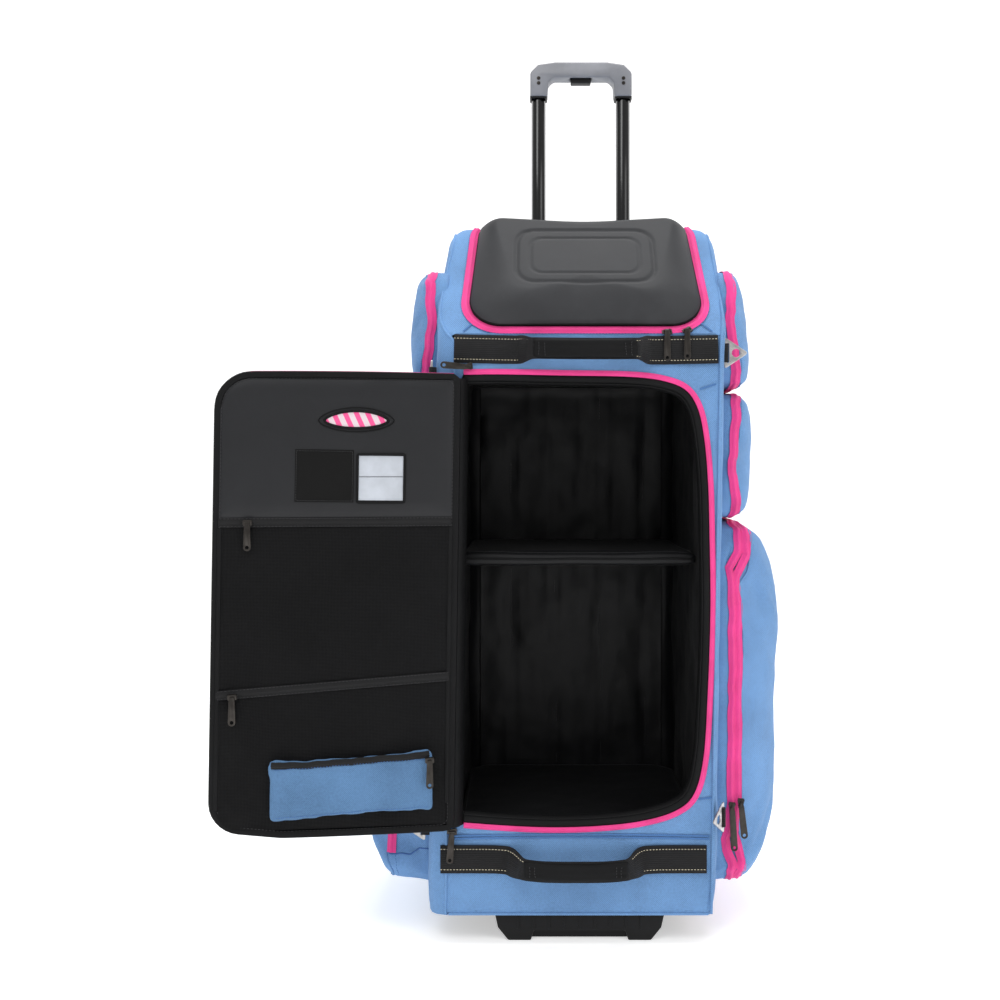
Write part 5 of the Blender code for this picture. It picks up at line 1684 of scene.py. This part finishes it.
def make_pocket(name, side):
    """A zipped side pocket: gusset, zip band and a soft outer panel, inflated as one."""
    node = f"{side}_{name}_pocket"
    sign = -1 if side == "left" else 1
    lowest, highest = BOXES[node]
    form = POCKET_FORM[name, side]
    margin = 0.0045
    sections = []
    for share, front_in, end_in, back_in in form["stations"]:
        outline = rounded_rect(lowest.y + margin + front_in, lowest.z + 0.001 + end_in * 0.8,
                               highest.y - margin - back_in, highest.z - margin - end_in, 0.021, 6)
        sections.append(resample([Vector((y, z, 0)) for y, z in outline], 0.02, True))
    count = min(len(section) for section in sections)
    vertices = []
    for (share, _, _, _), outline in zip(form["stations"], sections):
        total = sum((outline[i] - outline[i - 1]).length for i in range(len(outline)))
        line = resample(outline, total / count, True)[:count]
        while len(line) < count:
            line.append(line[-1])
        for point in line:
            vertices.append(pocket_point(name, side, point.x, point.y, share))
    faces = [tuple(range(count)), tuple(range(5 * count, 6 * count))[::-1]]
    for ring_index in range(5):
        for index in range(count):
            beside = (index + 1) % count
            first = ring_index * count
            faces.append((first + index, first + count + index, first + count + beside, first + beside))
    pocket = object_from(f"{node}_cloth", vertices, faces)
    shape = bmesh.new()
    shape.from_mesh(pocket.data)
    bmesh.ops.recalc_face_normals(shape, faces=shape.faces[:])
    shape.to_mesh(pocket.data)
    shape.free()
    inner = lowest.x + 0.004 if sign > 0 else highest.x - 0.004
    puff(pocket,
         5.0,
         0.006, 0.008 + form["belly"], pin=lambda p: (p.x - LEAN * (p.z - LEAN_LEVEL) - inner) * sign < 0.004)
    seed = 50.0 + 7 * sign + len(name)
    displaced(pocket, 0.0026, 0.085, seed, along=(1.0, 1.0, 0.8))
    displaced(pocket, 0.0009, 0.030, seed + 3)
    finer(pocket)
    box_uv(pocket)
    finish_piece(pocket, "blue", "bag", smooth=70.0)
    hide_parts(node)

    tree = tree_of(pocket)
    share = form["zip"]
    front = lowest.y
    zip_foot = form["zip_foot"]
    back = highest.y - 0.030

    def round_line(at_share, out=0.02):
        """From the back, over the top, down the front and under the pocket to the back again."""
        corner = 0.030
        path = [(back, highest.z + out)]
        path += arc((front + corner, highest.z - corner), corner + out, 90, 180, 8)
        if zip_foot is None or at_share != share:
            path += arc((front + corner, lowest.z + corner), corner + out, 180, 270, 8)
            path.append((back, lowest.z - out))
        else:
            path.append((front - out, zip_foot))
        points = resample([Vector((y, z, 0)) for y, z in path], 0.007)
        return laid_on(tree, [pocket_point(name, side, p.x, p.y, at_share) for p in points], 0.0002, 4)

    rows = form["rows"]
    width = 0.0066 if rows == 1 else 0.0062
    for row in range(rows):
        offset = (row - (rows - 1) / 2) * 0.0128 / (highest.x - lowest.x)
        line, offs = round_line(share + offset)
        sweep(f"{node}_zip_{row}", line, offs, zip_profile(width, 0.0014), "pink", "bag")
    seams = []
    step = (width * rows + 0.0022) / (highest.x - lowest.x)
    for shift in (-step, step):
        seams.append(round_line(share + shift))
    stitches(f"{node}_stitching", seams, "blue_thread", "bag", length=0.0026, spacing=0.0040, width=0.0006)
    line, offs = round_line(0.93 if form["stations"] is BOXY else 0.61)
    sweep(f"{node}_piping", line, offs, round_profile(0.0013, 6), "blue", "bag")
    if zip_foot is not None:
        run = [pocket_point(name, side, front - 0.02, zip_foot - 0.002, at)
               for at in spread(0.04, share + 0.06, 30)]
        line, offs = laid_on(tree, run, 0.0001)
        sweep(f"{node}_cross_seam", line, offs, round_profile(0.0009, 6), "blue_thread", "bag")


# ---------------------------------------------------------------- webbing handles, rings and pulls

def strap_path(lowest, highest, arch_left, arch_right, rise):
    """Where the webbing runs, and how wide it is, from its left end to its right end."""
    run = 0.026
    points = []
    widths = []
    z = (lowest.z + highest.z) / 2
    for x in spread(lowest.x, highest.x, 96):
        lift = ease((x - (arch_left - run)) / run) * ease(((arch_right + run) - x) / run)
        narrow = ease((x - (arch_left - run * 0.7)) / (run * 0.6))
        narrow *= ease(((arch_right + run * 0.7) - x) / (run * 0.6))
        points.append(Vector((x, FRONT - 0.0008 - (rise - 0.0060) * lift, z)))
        widths.append(1.0 - 0.26 * narrow)
    return points, widths


def make_grab_handle(name, arch_left, arch_right, tilt):
    lowest, highest = BOXES[name]
    rise = FRONT - lowest.y
    half = (highest.z - lowest.z) / 2
    points, widths = strap_path(lowest, highest, arch_left, arch_right, rise)
    middle = (lowest.x + highest.x) / 2
    shift = LEAN * ((lowest.z + highest.z) / 2 - LEAN_LEVEL)
    points = [point + Vector((shift * 0.5, 0, tilt(point.x))) for point in points]
    strap = sweep(name + "_webbing", points, OUT_FRONT, flat_profile(half, 0.0018, 0.0005), "webbing", "bag",
                  widths=widths)
    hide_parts(name)
    lines = []
    for edge in (-1, 1):
        line = [point + OUT_FRONT * 0.0019 + Vector((0, 0, edge * (half - 0.0048) * wide))
                for point, wide in zip(points, widths)
                if not arch_left - 0.004 < point.x < arch_right + 0.004]
        left = [point for point in line if point.x < middle]
        right = [point for point in line if point.x > middle]
        lines += [(left, OUT_FRONT), (right, OUT_FRONT)]
    stitches(name + "_stitching", lines, "thread", "bag", length=0.0024, spacing=0.0040, width=0.0007)

    grip_half = half * 0.76
    steps = 40
    vertices = []
    section = rounded_rect(-grip_half, -0.0036, grip_half, 0.0030, 0.0028, 3)
    section = [(p.x, p.y) for p in resample([Vector((a, b, 0)) for a, b in section], 0.004, True)]
    count = len(section)
    for step in range(steps + 1):
        x = arch_left - 0.004 + (arch_right - arch_left + 0.008) * step / steps
        ends = min(step, steps - step)
        close = 0.86 + 0.14 * min(1.0, ends / 2)
        lift = ease((x - (arch_left - 0.026)) / 0.026) * ease(((arch_right + 0.026) - x) / 0.026)
        y = FRONT - 0.0012 - (rise - 0.0060) * lift
        z = (lowest.z + highest.z) / 2 + tilt(x)
        for across, off in section:
            vertices.append(Vector((x + shift * 0.5, y + off * close, z + across * close)))
    faces = [tuple(range(count)), tuple(steps * count + index for index in range(count))[::-1]]
    for step in range(steps):
        for index in range(count):
            beside = (index + 1) % count
            faces.append((step * count + index, (step + 1) * count + index, (step + 1) * count + beside,
                          step * count + beside))
    grip = object_from(name + "_sleeve", vertices, faces)
    shape = bmesh.new()
    shape.from_mesh(grip.data)
    bmesh.ops.recalc_face_normals(shape, faces=shape.faces[:])
    shape.to_mesh(grip.data)
    shape.free()
    puff(grip, 3.0, 0.0028, 0.0012)
    for vertex in grip.data.vertices:
        z = vertex.co.z - (lowest.z + highest.z) / 2 - tilt(vertex.co.x)
        for line in (-0.30, 0.32):
            depth = max(0.0, 1 - abs(z / grip_half - line) / 0.16)
            if vertex.co.y < FRONT - 0.012:
                vertex.co.y += 0.0011 * ease(depth)
    displaced(grip, 0.0005, 0.02, 61.0)
    box_uv(grip)
    finish_piece(grip, "binding", "bag", smooth=70.0)
    tree = tree_of(grip)
    ends = []
    for x in (arch_left + 0.002, arch_left + 0.010, arch_right - 0.002, arch_right - 0.010):
        run = [Vector((x + shift * 0.5,
                       FRONT - 0.06, (lowest.z + highest.z) / 2 + tilt(x) + grip_half * share))
               for share in spread(-0.85, 0.85, 12)]
        line, offs = laid_on(tree, run, 0.0002)
        ends.append((line, OUT_FRONT))
    stitches(name + "_sleeve_stitching", ends, "dark_thread", "bag", length=0.0024, spacing=0.0034)


def make_ring(name):
    """Flat triangular strap ring with a round hole and a slot for its loop."""
    joint = JOINTS[name + "_swing"]
    pivot = Vector(joint["pos_m"])
    lowest, highest = BOXES[name]
    centre = (lowest + highest) / 2
    direction = Vector((centre.x - pivot.x, centre.y - pivot.y, 0.0)).normalized()
    cross = UP.cross(direction).normalized()
    place = Matrix.Translation(pivot) @ Matrix((direction, UP, direction.cross(UP))).transposed().to_4x4()
    corners = [Vector((-0.0018, -0.0205)), Vector((0.0290, 0.0)), Vector((-0.0018, 0.0205))]
    outline = []
    for index, corner in enumerate(corners):
        before = (corners[index - 1] - corner).normalized()
        after = (corners[(index + 1) % 3] - corner).normalized()
        reach = 0.0052
        a = corner + before * reach
        b = corner + after * reach
        for step in range(7):
            t = step / 6
            outline.append((a * (1 - t) ** 2 + corner * 2 * t * (1 - t) + b * t * t)[:])
    slot_hole = rounded_rect(0.0016, -0.0125, 0.0044, 0.0125, 0.0013, 3)[::-1]
    ring = plate(name + "_plate", [outline, circle((0.0132, 0.0), 0.0054)[::-1], slot_hole], place, 0.0011,
                 0.0005,
                 "steel", name)
    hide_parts(name)
    return pivot, direction, cross


def make_loop(name, pivot, toward, half, reach):
    """Webbing loop round a ring's bar, sewn to the case."""
    toward = Vector(toward).normalized()
    aside = UP.cross(toward)
    line = [pivot + toward * reach + aside * 0.0016, pivot + toward * (reach * 0.5) + aside * 0.0022]
    line += [pivot + toward * 0.0002 + aside * 0.0024]
    line += [pivot - toward * (0.0030 * math.sin(angle)) + aside * (0.0024 * math.cos(angle))
             for angle in spread(0.3, math.pi - 0.3, 6)]
    line += [pivot + toward * 0.0002 - aside * 0.0024, pivot + toward * (reach * 0.5) - aside * 0.0022,
             pivot + toward * reach - aside * 0.0016]
    path = smooth_path(line, 0.0012)
    offs = []
    for index in range(len(path)):
        tangent = (path[min(index + 1, len(path) - 1)] - path[max(index - 1, 0)]).normalized()
        offs.append(tangent.cross(UP))
    sweep(name + "_loop", path, offs, flat_profile(half, 0.0010, 0.0003), "webbing", "bag", smooth=60.0)


def make_rings():
    for name, toward, half, reach in (("right_upper_ring", (-1, 0.1, 0), 0.0118, 0.0075),
                                      ("left_upper_ring", (0.6, 0.8, 0), 0.0100, 0.0060),
                                      ("left_lower_ring", (1, 0, 0), 0.0118, 0.0095),
                                      ("right_lower_ring", (-0.3, 1, 0), 0.0118, 0.0045)):
        make_loop(name, make_ring(name)[0], toward, half, reach)


def make_slider(name, place, off, run, length=0.0125, half=0.0046, body="bag"):
    """A zip slider: a waisted body with a bridge for its pull."""
    off = Vector(off).normalized()
    run = Vector(run).normalized()
    run = (run - off * run.dot(off)).normalized()
    side = off.cross(run)
    matrix = Matrix((run, side, off)).transposed().to_4x4()
    outline = []
    for x, y in ((-0.5, 0.55), (-0.5, -0.55), (-0.1, -0.72), (0.3, -1.0), (0.5, -0.8), (0.5, 0.8), (0.3, 1.0),
                 (-0.1, 0.72)):
        outline.append((x * length, y * half))
    plate(name, [outline], Matrix.Translation(Vector(place) + off * 0.0016) @ matrix, 0.0011, 0.0005,
          "gunmetal", body)
    bridge = [Vector(place) + run * (length * x) + off * z for x, z in
              ((-0.34, 0.0020), (-0.30, 0.0042), (-0.12, 0.0052), (0.12, 0.0052), (0.30, 0.0042),
               (0.34, 0.0020))]
    sweep(name + "_bridge", smooth_path(bridge, 0.0008), side,
          [(-0.0007, -0.0011), (0.0007, -0.0011), (0.0007, 0.0011),
                                                                (-0.0007, 0.0011)], "gunmetal", body)


def make_outside_sliders():
    """Sliders of the zips that run round corners, each at its pull's pivot."""
    for name, run, off in (("lid_left_pull", (1, 0, 0.1), SLOPE_NORMAL),
                           ("lid_right_pull", (1, 0, 0.5), SLOPE_NORMAL),
                           ("main_lower_pull", (1, 0, 0), OUT_FRONT),
                           ("main_upper_pull", (1, 0, 0.1), OUT_FRONT),
                           ("pocket_left_pull", (0.1, 0, 1), OUT_FRONT), ("pocket_right_pull", (0.1, 0, 1),
                                                                          OUT_FRONT)):
        place = Vector(JOINTS[name + "_swing"]["pos_m"])
        back = 0.0052 if "lid" in name or name == "main_lower_pull" else 0.0044
        make_slider(name.replace("pull", "slider"), place - Vector(off) * back + Vector((0, 0, 0.001)), off,
                    run)


# ---------------------------------------------------------------- hard parts

HARD = {
    "left_inner_tube": 0.0004, "right_inner_tube": 0.0004, "left_outer_tube": 0.0004,
    "right_outer_tube": 0.0004,
    "trolley_grip": 0.0012, "grip_button": 0.0008, "handle_bezel": 0.0016, "tube_foot_bracket": 0.0010,
    "front_foot_bar": 0.0018, "left_wheel_housing": 0.0022, "right_wheel_housing": 0.0022,
    "left_tyre": 0.0008,
    "right_tyre": 0.0008, "left_wheel_hub": 0.0006, "right_wheel_hub": 0.0006, "left_axle": 0.0006,
    "right_axle": 0.0006,
}


def make_hard_parts():
    for node, width in HARD.items():
        refine(node, width, segments=2)
    for node in NODE_BODY:
        if node.endswith("_pull") or node.endswith("_slider"):
            refine(node, 0.0004, segments=2)
    lowest, highest = BOXES["trolley_grip"]
    leg = (low("right_inner_tube").x + high("right_inner_tube").x) / 2 - (lowest.x + highest.x) / 2
    centre = (lowest.x + highest.x) / 2
    face = lowest.y
    for side, name in ((-1, "left"), (1, "right")):
        for number, height in enumerate((lowest.z + 0.020, lowest.z + 0.0275)):
            place = Matrix.Translation((centre + side * leg, face - 0.0002,
                                        height)) @ Matrix.Rotation(math.pi / 2, 4, "X")
            plate(f"{name}_grip_screw_{number}", [circle((0, 0), 0.0028, 20)], place, 0.0006, 0.0003,
                  "gunmetal", "handle")
            cross = [(-0.0015, -0.0003), (0.0015, -0.0003), (0.0015, 0.0003), (-0.0015, 0.0003)]
            plate(f"{name}_grip_screw_slot_{number}", [cross], place @ Matrix.Translation((0, 0, 0.0006)),
                  0.0002, 0.0001,
                  "plastic", "handle")
        rim = rounded_rect(centre + side * leg - 0.0122, face + 0.0030, centre + side * leg + 0.0122,
                           highest.y - 0.0030, 0.0030, 3)
        line = resample([Vector((x, y, lowest.z - 0.0022)) for x, y in rim], 0.003, True)
        sweep(f"{name}_grip_collar", line, UP, flat_profile(0.0012, 0.0040), "plastic", "handle", closed=True)
    for side in ("left", "right"):
        lowest, highest = BOXES[side + "_axle"]
        centre = (lowest + highest) / 2
        for end, x in ((-1, lowest.x), (1, highest.x)):
            place = Matrix.Translation((x + end * 0.0008, centre.y, centre.z)) @ Matrix.Rotation(math.pi / 2,
                                                                                                 4, "Y")
            hexagon = circle((0, 0), 0.0068, 6)
            plate(f"{side}_axle_nut_{'inner' if end * (1 if side == 'right' else -1) < 0 else 'outer'}",
                  [hexagon], place,
                  0.0012, 0.0004, "steel", "bag")


def make_feet_ribs():
    """Moulded ribs on the front foot bar."""
    lowest, highest = BOXES["front_foot_bar"]
    for number, x in enumerate(spread(lowest.x + 0.030, highest.x - 0.030, 9)):
        rib = rounded_rect(x - 0.0016, 0.0145, x + 0.0016, highest.z - 0.003, 0.0008, 2)
        place = Matrix.Translation((0, lowest.y - 0.0001, 0)) @ Matrix.Rotation(math.pi / 2, 4, "X")
        plate(f"foot_bar_rib_{number}", [rib], place, 0.0007, 0.0003, "plastic", "bag")


def main():
    make_stage()
    make_front()
    make_sides()
    make_hood()
    make_back_and_base()
    make_piping()
    make_lining()
    make_pads()
    make_lid()
    make_door()
    make_gusset()
    for name, side in POCKET_FORM:
        make_pocket(name, side)
    make_grab_handle("upper_grab_handle", -0.058, 0.064, lambda x: -0.0025 * math.sin((x + 0.15) * 9.0))
    make_grab_handle("lower_grab_handle",
                     -0.064, 0.058, lambda x: -0.0075 * math.exp(-((x + 0.003) / 0.075) ** 4))
    make_rings()
    make_outside_sliders()
    make_hard_parts()
    make_feet_ribs()


main()
